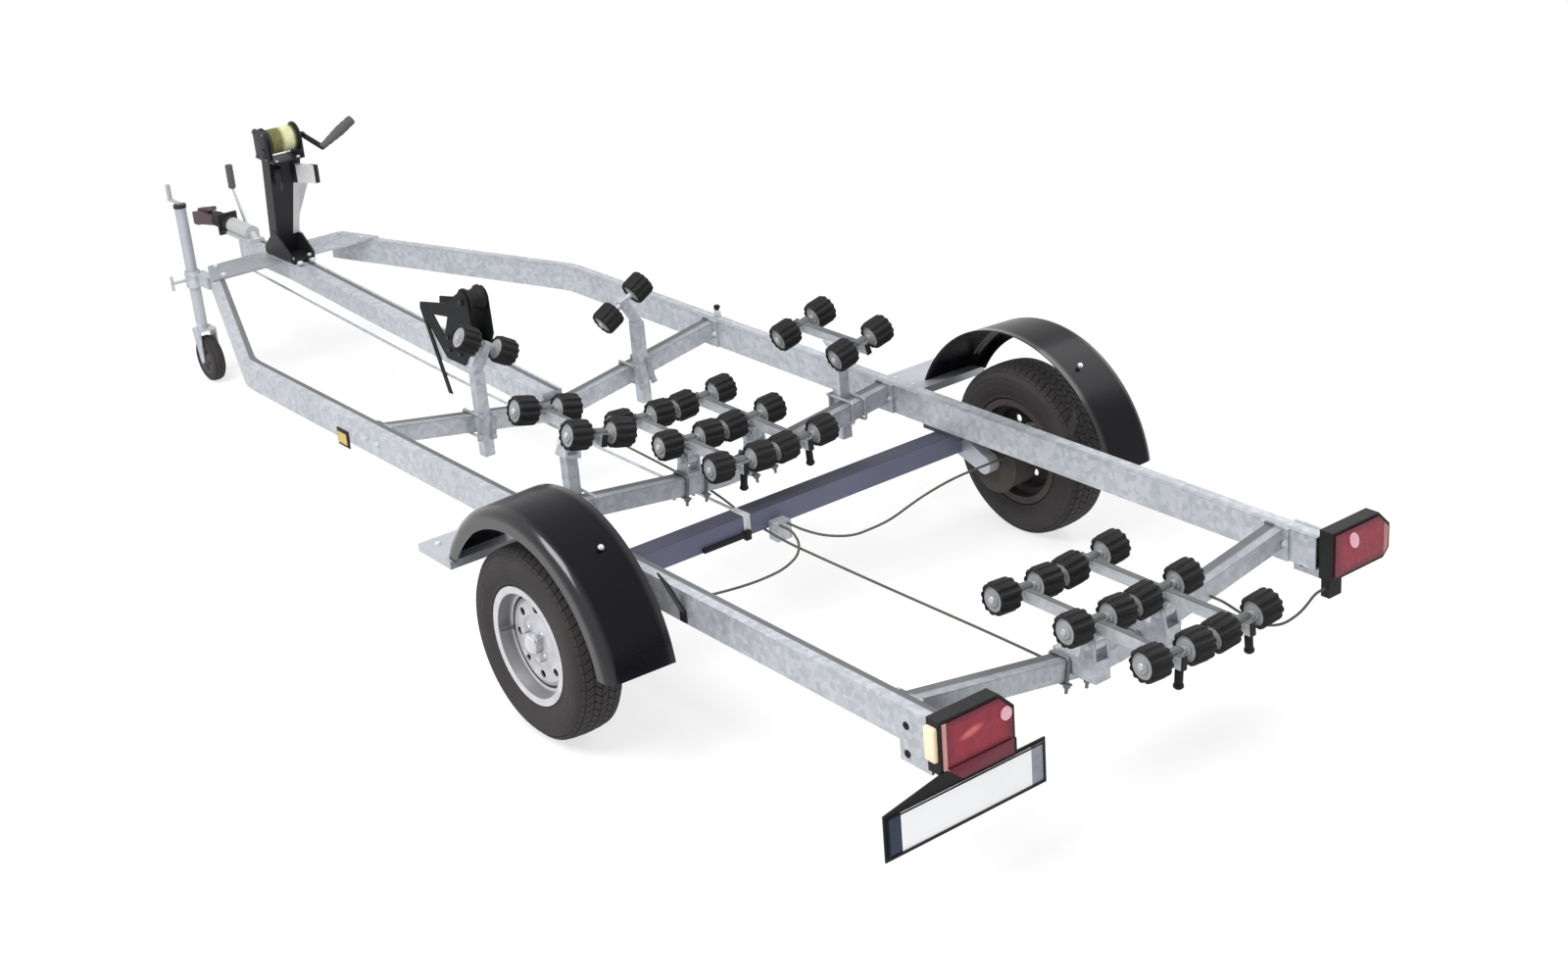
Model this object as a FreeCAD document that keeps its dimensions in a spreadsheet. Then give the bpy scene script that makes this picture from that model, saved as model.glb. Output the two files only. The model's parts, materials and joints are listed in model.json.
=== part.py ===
import FreeCAD, Part
import Sketcher
import math
import os
import re
from FreeCAD import Placement, Rotation, Vector

# Boat trailer, single axle, with rocking roller banks.
# X is to the right, Y forward to the coupling, Z up, in millimetres.
# Distances along the trailer are counted from the wheel axle, forward or back.

SIZES = [
    ("rail_half_width", 740, "outer face of a side rail from the middle"),
    ("rail_width", 50, "side rail tube, across"),
    ("rail_height", 100, "side rail tube, high"),
    ("rail_top", 500, "top of the side rails above the ground"),
    ("rail_rear", 1433, "rear end of the rails behind the axle"),
    ("rail_bend", 2404, "bend of the rails ahead of the axle"),
    ("rail_bend_radius", 350, "bend of the rails at their outer face"),
    ("rail_front", 3626, "front end of the rails ahead of the axle"),
    ("rail_front_half", 314, "outer face of a rail at its front end"),
    ("tube_wall", 4, "wall of the frame tubes"),
    ("end_plate_long", 118, "rear end plates, along the rail"),
    ("end_plate_high", 155, "rear end plates"),
    ("end_plate_over", 5, "rear end plates above the rail"),
    ("end_plate_thick", 8, "rear end plates"),
    ("end_hole", 10, "radius of the holes in the end plates"),
    ("end_hole_in", 90, "holes from the rear edge of the end plates"),
    ("end_hole_drop", 85, "middle between the two holes below the top of the rail"),
    ("end_hole_pitch", 80, "from one hole to the other"),
    ("cross_size", 60, "crossmember tube, square"),
    ("cross_end", 465, "middle of a crossmember at the rails, above the ground"),
    ("cross_bend_radius", 550, "bend of a crossmember along its middle"),
    ("front_cross_place", 1420, "front crossmember ahead of the axle"),
    ("front_cross_dip", 343, "where its straight halves would meet, above the ground"),
    ("middle_cross_place", 420, "middle crossmember ahead of the axle"),
    ("middle_cross_dip", 378, "where its straight halves would meet, above the ground"),
    ("rear_cross_place", 1290, "rear crossmember behind the axle"),
    ("rear_cross_dip", 345, "where its straight halves would meet, above the ground"),
    ("shoe_thick", 8, "end plates of the crossmembers"),
    ("shoe_long", 100, "end plates of the crossmembers, along the rail"),
    ("beam_size", 80, "drawbar tube, square"),
    ("beam_start_top", 408, "top of the drawbar at the front crossmember"),
    ("beam_bend", 3440, "bend of the drawbar ahead of the axle"),
    ("beam_bend_radius", 300, "bend of the drawbar at its top"),
    ("beam_front", 3905, "front end of the drawbar ahead of the axle"),
    ("front_plate_deep", 210, "plate over the rails and the drawbar, along"),
    ("front_plate_thick", 8, "plate over the rails and the drawbar"),
    ("tyre_radius", 296, "tyre, 165 wide on a 13 inch rim"),
    ("tyre_half", 82.5, "half the width of the tyre"),
    ("tread_half", 58, "half the width of the tread"),
    ("tread_drop", 5, "how far the tread's edges lie below its middle"),
    ("wheel_out", 223, "middle plane of a wheel from the rail's outer face"),
    ("bead_radius", 165, "rim where the tyre sits"),
    ("flange_radius", 183, "rim flange"),
    ("rim_half", 70, "half the width of the rim"),
    ("rim_wall", 6, "steel of the rim"),
    ("well_radius", 146, "drop centre of the rim"),
    ("disc_face", 30, "outer face of the wheel disc from the middle plane"),
    ("disc_wall", 7, "steel of the wheel disc"),
    ("disc_outer", 124, "outer edge of the flat ring with the holes"),
    ("disc_inner", 84, "inner edge of the flat ring with the holes"),
    ("hub_rise", 8, "hub part of the disc in front of the flat ring"),
    ("hub_bore", 32, "centre hole of the disc"),
    ("vent_radius", 13, "round holes in the wheel disc"),
    ("vent_ring", 104, "ring of those holes"),
    ("drum_radius", 105, "brake drum"),
    ("drum_start", 158, "inner face of the drum from the wheel's middle plane"),
    ("drum_end", 70, "outer face of the drum from the wheel's middle plane"),
    ("hub_radius", 62, "hub flange"),
    ("cap_long", 28, "grease cap in front of the disc"),
    ("stub_radius", 20, "stub axle"),
    ("stub_gap", 0.05, "running gap of the stub axle in the hub"),
    ("axle_size", 70, "axle tube, square"),
    ("axle_ahead", 134, "axle tube ahead of the wheels"),
    ("axle_height", 350, "middle of the axle tube above the ground"),
    ("axle_over", 8, "axle tube past the rail's outer face"),
    ("axle_pad", 180, "axle bracket under the rail, along"),
    ("arm_thick", 42, "swing arm, across"),
    ("arm_radius", 46, "swing arm round the axle tube"),
    ("arm_tip", 34, "swing arm round the stub axle"),
    ("shield_radius", 112, "brake shield"),
    ("shield_thick", 6, "brake shield"),
    ("drum_clear", 6, "gap from the brake shield to the drum"),
    ("guard_radius", 460, "mudguard at its inner edge"),
    ("guard_back", 30, "middle of that arc behind the axle"),
    ("guard_height", 276, "middle of that arc above the ground"),
    ("guard_in", 105, "inner edge of the mudguard from the rail's outer face"),
    ("guard_width", 215, "mudguard, across"),
    ("guard_crown", 7, "how far the mudguard falls towards its outer side"),
    ("guard_round", 33, "rounded outer edge of the mudguard"),
    ("guard_skirt", 28, "straight part of the mudguard's side"),
    ("guard_wall", 4, "mudguard"),
    ("guard_rear_end", 352, "rear end of the mudguard above the ground"),
    ("step_top", 470, "step plate under the mudguard's front end, above the ground"),
    ("step_start", 330, "step plate ahead of the axle"),
    ("step_long", 190, "step plate"),
    ("step_high", 25, "folded edges of the step plate"),
    ("step_wall", 5, "step plate"),
    ("step_over", 10, "step plate past the mudguard's outer side"),
    ("stay_place", 388, "rear mudguard stay behind the axle"),
    ("stay_width", 28, "rear mudguard stay, along"),
    ("stay_thick", 10, "rear mudguard stay, measured upright"),
    ("stay_drop", 64, "bend of the stay below the top of the rail"),
    ("stay_foot", 31, "part of the stay that lies on the rail"),
    ("stay_slope", 52, "slope of the stay, degrees"),
    ("seat_gap", 0.3, "bent or curved pieces from what they lie on"),
    ("lamp_width", 250, "tail lamp"),
    ("lamp_height", 149, "tail lamp"),
    ("lamp_depth", 45, "tail lamp housing"),
    ("lamp_cut", 50, "cut corner of a tail lamp"),
    ("lens_depth", 18, "tail lamp lens inside its housing"),
    ("lens_proud", 4, "tail lamp lens in front of its housing"),
    ("lens_edge", 10, "rim of the housing round the lens"),
    ("lamp_left", 641, "middle of the left lamp from the middle"),
    ("lamp_right", 821, "middle of the right lamp from the middle"),
    ("lamp_low", 378, "bottom of a tail lamp above the ground"),
    ("lamp_block", 52, "cable block under the right lamp, across"),
    ("lamp_block_in", 11, "that block from the inner end of the lamp"),
    ("lamp_block_deep", 30, "cable block, along"),
    ("lamp_block_high", 60, "cable block"),
    ("lamp_plate", 8, "lamp bracket plate"),
    ("plate_width", 520, "number plate"),
    ("plate_height", 112, "number plate"),
    ("plate_thick", 3, "number plate"),
    ("plate_outer", 948, "outer end of the number plate from the middle"),
    ("plate_low", 227, "bottom of the number plate above the ground"),
    ("holder_edge", 9, "plate holder round the number plate"),
    ("holder_thick", 5, "plate holder"),
    ("holder_lap", 8, "plate holder up over the rim of the lamp"),
    ("reflector_width", 60, "side reflector"),
    ("reflector_height", 40, "side reflector"),
    ("reflector_thick", 8, "side reflector"),
    ("reflector_place", 1603, "side reflector ahead of the axle"),
    ("reflector_drop", 93, "middle of the reflector below the top of the rail"),
    ("housing_start", 3800, "overrun housing ahead of the axle"),
    ("housing_end", 4090, "overrun housing ahead of the axle"),
    ("housing_half", 36, "half the width of the overrun housing"),
    ("housing_tube", 33, "radius of the overrun housing"),
    ("housing_base", 14, "foot of the overrun housing"),
    ("flange_half", 46, "half the width of the housing's front flange"),
    ("flange_thick", 12, "front flange of the housing"),
    ("gaiter_long", 100, "rubber gaiter"),
    ("gaiter_radius", 34, "rubber gaiter at its folds"),
    ("gaiter_fold", 8, "depth of the folds"),
    ("draw_rise", 34, "middle of the drawtube above the drawbar"),
    ("ball_height", 500, "middle of the tow ball above the ground"),
    ("head_long", 280, "tow ball ahead of the overrun housing"),
    ("ball_radius", 25, "tow ball"),
    ("ball_gap", 0.3, "socket over the ball"),
    ("head_wall", 12, "coupling head round the ball"),
    ("head_skirt", 16, "coupling head below the middle of the ball"),
    ("neck_half", 24, "half the width of the coupling's neck"),
    ("neck_high", 52, "coupling's neck"),
    ("lever_place", 3960, "pivot of the handbrake lever ahead of the axle"),
    ("lever_thick", 8, "handbrake lever"),
    ("lever_top", 792, "top of the handbrake lever above the ground"),
    ("lever_lean", 100, "how far the lever leans forward"),
    ("grip_radius", 15, "lever grip"),
    ("grip_long", 100, "lever grip"),
    ("rod_radius", 5, "brake rod"),
    ("rod_low", 288, "brake rod under the axle, above the ground"),
    ("rod_high", 375, "front end of the brake rod above the ground"),
    ("rod_bend", 1950, "bend of the brake rod ahead of the axle"),
    ("rod_front", 3865, "front end of the brake rod ahead of the axle"),
    ("rod_side", 30, "brake rod from the middle, on the left"),
    ("carrier_thick", 8, "plate that holds the front end of the brake rod"),
    ("yoke_half", 28, "cable yoke behind the axle, half its width"),
    ("yoke_deep", 44, "cable yoke, along"),
    ("cable_radius", 4, "brake cables and lamp lead"),
    ("cable_height", 330, "brake cables at their ends above the ground"),
    ("cable_behind", 70, "brake cables at the brake shields behind the wheel axle"),
    ("foot_thick", 10, "foot plate of the winch post"),
    ("foot_half", 55, "half the width of the foot plate"),
    ("foot_front", 3600, "foot plate ahead of the axle, front edge"),
    ("foot_long", 240, "foot plate, along"),
    ("gusset_high", 110, "gussets of the winch post"),
    ("gusset_edge", 20, "gussets at the ends of the foot plate"),
    ("gusset_thick", 8, "gussets of the winch post"),
    ("post_place", 3523, "foot of the winch post ahead of the axle"),
    ("post_deep", 70, "winch post, along"),
    ("post_low_half", 47, "half the width of the winch post at its foot"),
    ("post_top_half", 71, "half the width of the winch post at its top"),
    ("post_high", 422, "winch post"),
    ("post_lean", 108, "how far the winch post leans to the rear"),
    ("winch_rise", 80, "winch drum above the post"),
    ("winch_back", 15, "winch drum behind the top of the post"),
    ("winch_half", 72, "half the width of the winch frame"),
    ("winch_cheek", 5, "side plate of the winch"),
    ("cheek_radius", 62, "winch side plates round the drum"),
    ("shaft_radius", 8, "winch shaft"),
    ("shaft_out", 28, "winch shaft past its frame"),
    ("drum_web", 52, "radius of the wound strap"),
    ("strap_gap", 3, "wound strap from the side plates"),
    ("crank_long", 175, "winch crank"),
    ("crank_drop", 25, "end of the crank below the shaft"),
    ("crank_width", 24, "winch crank"),
    ("crank_thick", 6, "winch crank"),
    ("crank_grip", 172, "grip of the winch crank"),
    ("crank_tilt", 29, "slope of that grip, degrees"),
    ("stop_half", 98, "half the width of the bow stop"),
    ("stop_low", 836, "bow stop above the ground"),
    ("stop_high", 76, "bow stop"),
    ("stop_deep", 120, "bow stop, along"),
    ("stop_thick", 20, "arms of the bow stop"),
    ("brace_low", 592, "lower end of the post's brace above the ground"),
    ("brace_top", 867, "upper end of the post's brace above the ground"),
    ("brace_side", 15, "lower end of the brace from the middle"),
    ("brace_width", 54, "brace of the winch post"),
    ("brace_thick", 6, "brace of the winch post"),
    ("brace_out", 91, "how far the brace leans out to the right"),
    ("jockey_side", 356, "jockey wheel from the middle"),
    ("jockey_place", 3700, "jockey wheel ahead of the axle"),
    ("jockey_tube", 24, "radius of the jockey tube"),
    ("jockey_bore", 24.3, "radius inside the jockey clamp"),
    ("jockey_ring", 33, "radius of the jockey clamp"),
    ("jockey_clamp_high", 70, "jockey clamp"),
    ("jockey_clamp_low", 415, "bottom of the jockey clamp above the ground"),
    ("jockey_top", 760, "top of the jockey tube above the ground"),
    ("jockey_low", 262, "bottom of the jockey tube above the ground"),
    ("jockey_wheel", 100, "radius of the jockey wheel"),
    ("jockey_half", 28, "half the width of the jockey wheel"),
    ("jockey_hub", 32, "radius of the jockey wheel's hub"),
    ("jockey_web", 20, "how deep the sides of the jockey wheel are hollowed"),
    ("fork_wall", 6, "jockey fork"),
    ("fork_gap", 5, "jockey fork beside the wheel"),
    ("spigot_radius", 14, "spigot below the jockey tube"),
    ("collar_high", 30, "collar of the fork round the spigot"),
    ("fork_trail", 30, "jockey wheel behind its stem"),
    ("pin_radius", 8, "jockey wheel axle"),
    ("run_gap", 0.05, "running gap at pins"),
    ("handle_reach", 62, "clamp handle"),
    ("handle_radius", 7, "clamp handle"),
    ("roller_radius", 48, "roller at its ribs"),
    ("roller_groove", 5, "depth between the ribs"),
    ("roller_long", 75, "roller"),
    ("roller_half", 79, "middle of a roller from the middle of its spindle"),
    ("spindle_radius", 10, "spindle of a roller pair"),
    ("spindle_over", 3, "spindle past its rollers"),
    ("row_pitch", 270, "roller rows of a six roller bank"),
    ("bank_side", 127, "middle of a bank from the middle of the trailer"),
    ("bank_tilt", 4, "bank towards the keel, degrees"),
    ("rear_bank_place", 1386, "pivot of the rear banks behind the axle"),
    ("rear_bank_height", 532, "spindles of the rear banks above the ground"),
    ("middle_bank_height", 543, "spindles of the middle banks above the ground"),
    ("bar_width", 40, "rocker bar"),
    ("bar_height", 50, "rocker bar"),
    ("bar_drop", 4, "middle of the bar below the spindles"),
    ("bar_over", 40, "rocker bar past its last spindle"),
    ("pivot_radius", 12, "rocker pivot pin"),
    ("pivot_drop", 62, "rocker pivot below the spindles"),
    ("lug_radius", 22, "rocker lug round its pivot"),
    ("lug_half", 34, "half the length of the lug where it meets the bar"),
    ("ear_thick", 8, "pivot bracket ears"),
    ("ear_half", 30, "half the length of the ears"),
    ("ear_low", 50, "ears below the pivot"),
    ("ear_gap", 1, "gap from the rocker lug to an ear"),
    ("side_pitch", 300, "roller rows of a side bank"),
    ("side_bank_side", 518, "middle of a side bank from the middle"),
    ("side_bank_height", 712, "spindles of the side banks above the ground"),
    ("side_bank_tilt", 14, "side bank towards the keel, degrees"),
    ("side_post_size", 40, "roller post, square"),
    ("side_post_low", 330, "foot of a side post above the ground"),
    ("front_pair_side", 288, "middle of a front roller pair from the middle"),
    ("front_pair_height", 682, "spindle of a front pair above the ground"),
    ("front_pair_tilt", 30, "front pair towards the keel, degrees"),
    ("front_post_top", 600, "top of a front post above the ground"),
    ("front_post_low", 290, "foot of a front post above the ground"),
    ("stem_drop", 95, "stem of a front pair"),
    ("stem_half", 15, "half the size of that stem"),
    ("keel_place", 1950, "keel roller ahead of the axle"),
    ("keel_height", 645, "keel roller above the ground"),
    ("keel_radius", 50, "keel roller at its ends"),
    ("keel_waist", 38, "keel roller at its middle"),
    ("keel_gap", 4, "keel roller from its cheeks"),
    ("keel_plate", 6, "cheeks of the keel roller"),
    ("keel_round", 44, "cheeks round the roller's pin"),
]

doc = FreeCAD.newDocument("BoatTrailer")
sheet = doc.addObject("Spreadsheet::Sheet", "Sizes")
for row, (name, size, note) in enumerate(SIZES, start=1):
    sheet.set("A%d" % row, name)
    sheet.set("B%d" % row, str(size))
    sheet.set("C%d" % row, note)
    sheet.setAlias("B%d" % row, name)
doc.recompute()
names = {name for name, size, note in SIZES}
nodes = []


def bound(expression):
    """An expression on the plain names of the sheet, as the document reads it."""
    return re.sub(r"[a-z_]+", lambda w: "Sizes." + w.group() if w.group() in names else w.group(),
                  str(expression))


def value(expression):
    return float(sheet.evalExpression(bound(expression)))


def drive(item, **paths):
    """Bind properties of an object, such as Length or x, to expressions."""
    for path, expression in paths.items():
        full = "Placement.Base." + path if path in "xyz" else path
        item.setExpression(full, bound(expression))


# Places that several pieces share

WHEEL = "(rail_half_width + wheel_out)"
AXLE_END = "(rail_half_width + axle_over)"
RAIL_LOW = "(rail_top - rail_height)"
GUARD_INNER = "(rail_half_width + guard_in)"
BALL = "(housing_end + head_long)"
HEAD_RADIUS = "(ball_radius + ball_gap + head_wall)"
FRONT_ROW = "(front_cross_place - cross_size / 2 - side_post_size / 2)"
SIDE_ROW = "(middle_cross_place + cross_size / 2 + side_post_size / 2)"

# The document's middle lies halfway between the coupling's nose and the last roller.
AXLE = "((rear_bank_place + row_pitch + roller_radius - %s - %s) / 2)" % (BALL, HEAD_RADIUS)


def node(item, name, moved=True):
    """Name a finished sub-part and set it at its place along the trailer."""
    item.Label = name
    if moved:
        drive(item, y=AXLE)
    nodes.append((name, item))
    return item


# Plain solids

def block(x, y, z, across, along, high):
    """A block from its lowest corner."""
    item = doc.addObject("Part::Box", "Block")
    drive(item, Length=across, Width=along, Height=high, x=x, y=y, z=z)
    return item


TURNS = {"x": Rotation(Vector(0, 1, 0), 90), "y": Rotation(Vector(1, 0, 0), -90), "z": Rotation()}


def rod(axis, x, y, z, radius, long):
    """A round bar that starts at a point and runs along an axis."""
    item = doc.addObject("Part::Cylinder", "Rod")
    item.Placement = Placement(Vector(), TURNS[axis])
    drive(item, Radius=radius, Height=long, x=x, y=y, z=z)
    return item


def fuse(*items):
    item = doc.addObject("Part::MultiFuse", "Joined")
    item.Shapes = list(items)
    return item


def cut(base, *tools):
    item = doc.addObject("Part::Cut", "Cut")
    item.Base = base
    item.Tool = tools[0] if len(tools) == 1 else fuse(*tools)
    return item


def common(base, tool):
    item = doc.addObject("Part::Common", "Common")
    item.Base = base
    item.Tool = tool
    return item


def together(*items):
    item = doc.addObject("Part::Compound", "Set")
    item.Links = list(items)
    return item


def mirror(item):
    """The same piece on the left side."""
    other = doc.addObject("Part::Mirroring", "Left")
    other.Source = item
    other.Normal = Vector(1, 0, 0)
    return other


def both(item):
    return together(item, mirror(item))


# Sketched solids

def arc_between(first, last, way, radius):
    """The short arc from one corner to the next, bending left or right on the way."""
    chord = last - first
    across = Vector(-chord.y, chord.x, 0) / chord.Length
    rise = math.sqrt(radius ** 2 - chord.Length ** 2 / 4)
    centre = (first + last) / 2 + across * (rise if way == "left" else -rise)
    start, end = (first, last) if way == "left" else (last, first)
    angles = [math.atan2(p.y - centre.y, p.x - centre.x) for p in (start, end)]
    return Part.ArcOfCircle(Part.Circle(centre, Vector(0, 0, 1), radius), *angles)


def sketch(body, role, points, offset=0, circles=()):
    """A closed outline bound to the sheet; a corner also has a way and a radius where an arc starts."""
    item = body.newObject("Sketcher::SketchObject", "Outline")
    plane = [f for f in body.Origin.OriginFeatures if f.Role == role][0]
    item.AttachmentSupport = [(plane, "")]
    item.MapMode = "FlatFace"
    item.setExpression("AttachmentOffset.Base.z", bound(offset))

    def hold(kind, *what):
        size = what[-1]
        number = item.addConstraint(Sketcher.Constraint(kind, *what[:-1], value(size)))
        item.setExpression("Constraints[%d]" % number, bound(size))
    corners = [Vector(value(point[0]), value(point[1]), 0) for point in points]
    edges = []
    for i, point in enumerate(points):
        first, last = corners[i], corners[(i + 1) % len(corners)]
        if len(point) == 2:
            edges.append((item.addGeometry(Part.LineSegment(first, last)), 1, 2))
        else:
            edge = item.addGeometry(arc_between(first, last, point[2], value(point[3])))
            edges.append((edge, 1, 2) if point[2] == "left" else (edge, 2, 1))
    for i, (edge, start, end) in enumerate(edges):
        other, other_start, other_end = edges[(i + 1) % len(edges)]
        item.addConstraint(Sketcher.Constraint("Coincident", edge, end, other, other_start))
        hold("DistanceX", -1, 1, edge, start, points[i][0])
        hold("DistanceY", -1, 1, edge, start, points[i][1])
        if len(points[i]) > 2:
            hold("Radius", edge, points[i][3])
    for a, b, radius in circles:
        ring = item.addGeometry(Part.Circle(Vector(value(a), value(b), 0), Vector(0, 0, 1), value(radius)))
        hold("DistanceX", -1, 1, ring, 3, a)
        hold("DistanceY", -1, 1, ring, 3, b)
        hold("Radius", ring, radius)
    return item


def pad(body, profile, length, kind="Pad", middle=True, back=False):
    item = body.newObject("PartDesign::" + kind, kind)
    item.Profile = profile
    item.Midplane = middle
    item.Reversed = back
    item.setExpression("Length", bound(length))
    return item


def turned(points, angle=360):
    """A body of revolution about X, even about the upright: points are distance along X and radius."""
    body = doc.addObject("PartDesign::Body", "Turned")
    profile = sketch(body, "XZ_Plane", points)
    item = body.newObject("PartDesign::Revolution", "Revolution")
    item.Profile = profile
    item.ReferenceAxis = (profile, ["H_Axis"])
    item.Angle = angle
    item.Midplane = angle < 360
    return body


def plate(role, points, thick, offset=0, circles=(), middle=True, back=False):
    body = doc.addObject("PartDesign::Body", "Plate")
    pad(body, sketch(body, role, points, offset, circles), thick, middle=middle, back=back)
    return body


def box_outline(left, right, low, high):
    return [(left, low), (right, low), (right, high), (left, high)]


def lofted(low, low_outline, high, high_outline):
    """A body between two level outlines."""
    body = doc.addObject("PartDesign::Body", "Loft")
    start = sketch(body, "XY_Plane", low_outline, low)
    end = sketch(body, "XY_Plane", high_outline, high)
    item = body.newObject("PartDesign::AdditiveLoft", "Loft")
    item.Profile = start
    item.Sections = [end]
    item.Ruled = True
    return body


# Rods and cables along a route

def route(spots):
    """Straight runs joined by tangent arcs, each as large as its two runs allow."""
    edges = []
    start = spots[0]
    for before, here, after in zip(spots, spots[1:], spots[2:]):
        come = here - before
        go = after - here
        half = come.getAngle(go) / 2
        reach = 0.45 * min(come.Length, go.Length)
        come.normalize()
        go.normalize()
        radius = reach / math.tan(half)
        inward = (go - come).normalize()
        first, last = here - come * reach, here + go * reach
        middle = here + inward * (reach / math.sin(half) - radius)
        edges.append(Part.LineSegment(start, first).toShape())
        edges.append(Part.Arc(first, middle, last).toShape())
        print("bend radius", round(radius))
        start = last
    edges.append(Part.LineSegment(start, spots[-1]).toShape())
    return Part.Wire(edges)


def run_of_rod(label, points, radius):
    """A round rod or cable along a route of points, each written as three expressions."""
    spots = [Vector(*[value(part) for part in point]) for point in points]
    line = route(spots)
    size = value(radius)
    ring = Part.Wire([Part.Circle(spots[0], spots[1] - spots[0], size).toShape()])
    item = doc.addObject("Part::Feature", label)
    item.Shape = line.makePipeShell([ring], True, False)
    expected = math.pi * size ** 2 * line.Length
    if abs(item.Shape.Volume / expected - 1) > 0.01:
        raise RuntimeError("bad sweep: " + label)
    print(label, "is", round(line.Length), "long")
    return item


# Frame

LEAN = "atan((rail_half_width - rail_front_half) / (rail_front - rail_bend))"
BEND_START = "(rail_bend - rail_bend_radius * tan(%s / 2))" % LEAN


def rail_line(depth):
    """Rear end, bend and front end of a rail's plan line at a depth from its outer face."""
    radius = "(rail_bend_radius - %s)" % depth
    return [("rail_half_width - " + depth, "-rail_rear"), ("rail_half_width - " + depth, BEND_START),
            ("rail_half_width - rail_bend_radius + %s * cos(%s)" % (radius, LEAN),
             "%s + %s * sin(%s)" % (BEND_START, radius, LEAN)),
            ("rail_front_half - %s / cos(%s)" % (depth, LEAN), "rail_front")]


def rail_outline(outer, inner):
    """Plan of a rail between two depths from its outer face."""
    a, b, c, d = rail_line(outer)
    e, f, g, h = rail_line(inner)
    return [a, b + ("left", "rail_bend_radius - " + outer), c, d,
            h, g + ("right", "rail_bend_radius - " + inner), f, e]


def side_rail(hollowed=True):
    body = doc.addObject("PartDesign::Body", "Rail")
    whole = sketch(body, "XY_Plane", rail_outline("0", "rail_width"), RAIL_LOW)
    pad(body, whole, "rail_height", middle=False)
    if hollowed:
        hollow = sketch(body, "XY_Plane", rail_outline("tube_wall", "(rail_width - tube_wall)"),
                        "rail_top - tube_wall")
        pad(body, hollow, "rail_height - 2 * tube_wall", kind="Pocket", middle=False)
    return body


REACH = "(rail_half_width - rail_width)"


def cross_line(dip, rise, ways):
    """Half of a crossmember's outline, left to right, at a height over its middle line."""
    slope = "atan((cross_end - %s) / %s)" % (dip, REACH)
    centre = "(%s + cross_bend_radius / cos(%s))" % (dip, slope)
    radius = "(cross_bend_radius - %s)" % rise
    end = "cross_end + %s / cos(%s)" % (rise, slope)
    bend = ("%s * sin(%s)" % (radius, slope), "%s - %s * cos(%s)" % (centre, radius, slope))
    line = [("-" + REACH, end), ("-" + bend[0], bend[1]), (bend[0], bend[1]), (REACH, end)]
    if ways == "right":
        line = line[::-1]
    return [line[0], line[1] + (ways, radius), line[2], line[3]]


def cross_solid(place, dip, half, kind="Pad", body=None):
    body = body or doc.addObject("PartDesign::Body", "Crossmember")
    outline = cross_line(dip, half, "left") + cross_line(dip, "(-%s)" % half, "right")
    pad(body, sketch(body, "XZ_Plane", outline, "-(%s)" % place), "2 * " + half, kind=kind)
    return body


def crossmember(place, dip, hollow=True):
    """A square tube with a round bend in the middle, between the rails."""
    body = cross_solid(place, dip, "(cross_size / 2)")
    if not hollow:
        return body
    cross_solid(place, dip, "(cross_size / 2 - tube_wall)", kind="Pocket", body=body)
    shoe = block(REACH + " - shoe_thick", "%s - shoe_long / 2" % place, RAIL_LOW, "shoe_thick", "shoe_long",
                 "rail_height")
    return fuse(body, shoe, mirror(shoe))


BEAM_START = "(front_cross_place + cross_size / 2)"
BEAM_SLOPE = "atan((rail_top - beam_start_top) / (beam_bend - %s))" % BEAM_START
BEAM_TURN = "(beam_bend + beam_bend_radius * tan(%s / 2))" % BEAM_SLOPE


def beam_line(inset):
    """Side line of the drawbar at a depth below its top, from its rear end to its front end."""
    radius = "(beam_bend_radius - %s)" % inset
    return [(BEAM_START, "beam_start_top - %s / cos(%s)" % (inset, BEAM_SLOPE)),
            ("%s - %s * sin(%s)" % (BEAM_TURN, radius, BEAM_SLOPE),
             "rail_top - beam_bend_radius + %s * cos(%s)" % (radius, BEAM_SLOPE)),
            (BEAM_TURN, "rail_top - " + inset), ("beam_front", "rail_top - " + inset)]


def drawbar(hollow=True):
    def outline(inset, depth):
        a, b, c, d = beam_line(inset)
        e, f, g, h = beam_line(depth)
        return [a, b + ("right", "beam_bend_radius - " + inset), c, d,
                h, g + ("left", "beam_bend_radius - " + depth), f, e]
    body = doc.addObject("PartDesign::Body", "Drawbar")
    pad(body, sketch(body, "YZ_Plane", outline("0", "beam_size")), "beam_size")
    if hollow:
        inner = outline("tube_wall", "(beam_size - tube_wall)")
        pad(body, sketch(body, "YZ_Plane", inner), "beam_size - 2 * tube_wall", kind="Pocket")
    return body


def end_plate():
    """Plate on the outer face of a rail's rear end, with two holes."""
    outline = box_outline("-rail_rear", "end_plate_long - rail_rear",
                          "rail_top + end_plate_over - end_plate_high",
                          "rail_top + end_plate_over")
    middle = "rail_top - end_hole_drop"
    holes = [("end_hole_in - rail_rear", middle + sign + "end_hole_pitch / 2", "end_hole")
             for sign in (" + ", " - ")]
    return plate("YZ_Plane", outline, "end_plate_thick", "rail_half_width", holes, middle=False)


def front_plate():
    """Plate that narrows with the rails."""
    back = "(rail_front_half + front_plate_deep * tan(%s))" % LEAN
    rear = "rail_front - front_plate_deep"
    outline = [("-" + back, rear), (back, rear), ("rail_front_half", "rail_front"),
               ("-rail_front_half", "rail_front")]
    return plate("XY_Plane", outline, "front_plate_thick", "rail_top", middle=False)


node(both(side_rail()), "side_rails")
node(both(end_plate()), "end_plates")
node(drawbar(), "drawbar_beam")
node(front_plate(), "front_plate")
node(together(crossmember("front_cross_place", "front_cross_dip"),
              crossmember("middle_cross_place", "middle_cross_dip"),
              crossmember("(-rear_cross_place)", "rear_cross_dip")), "crossmembers")


# Axle

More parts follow.
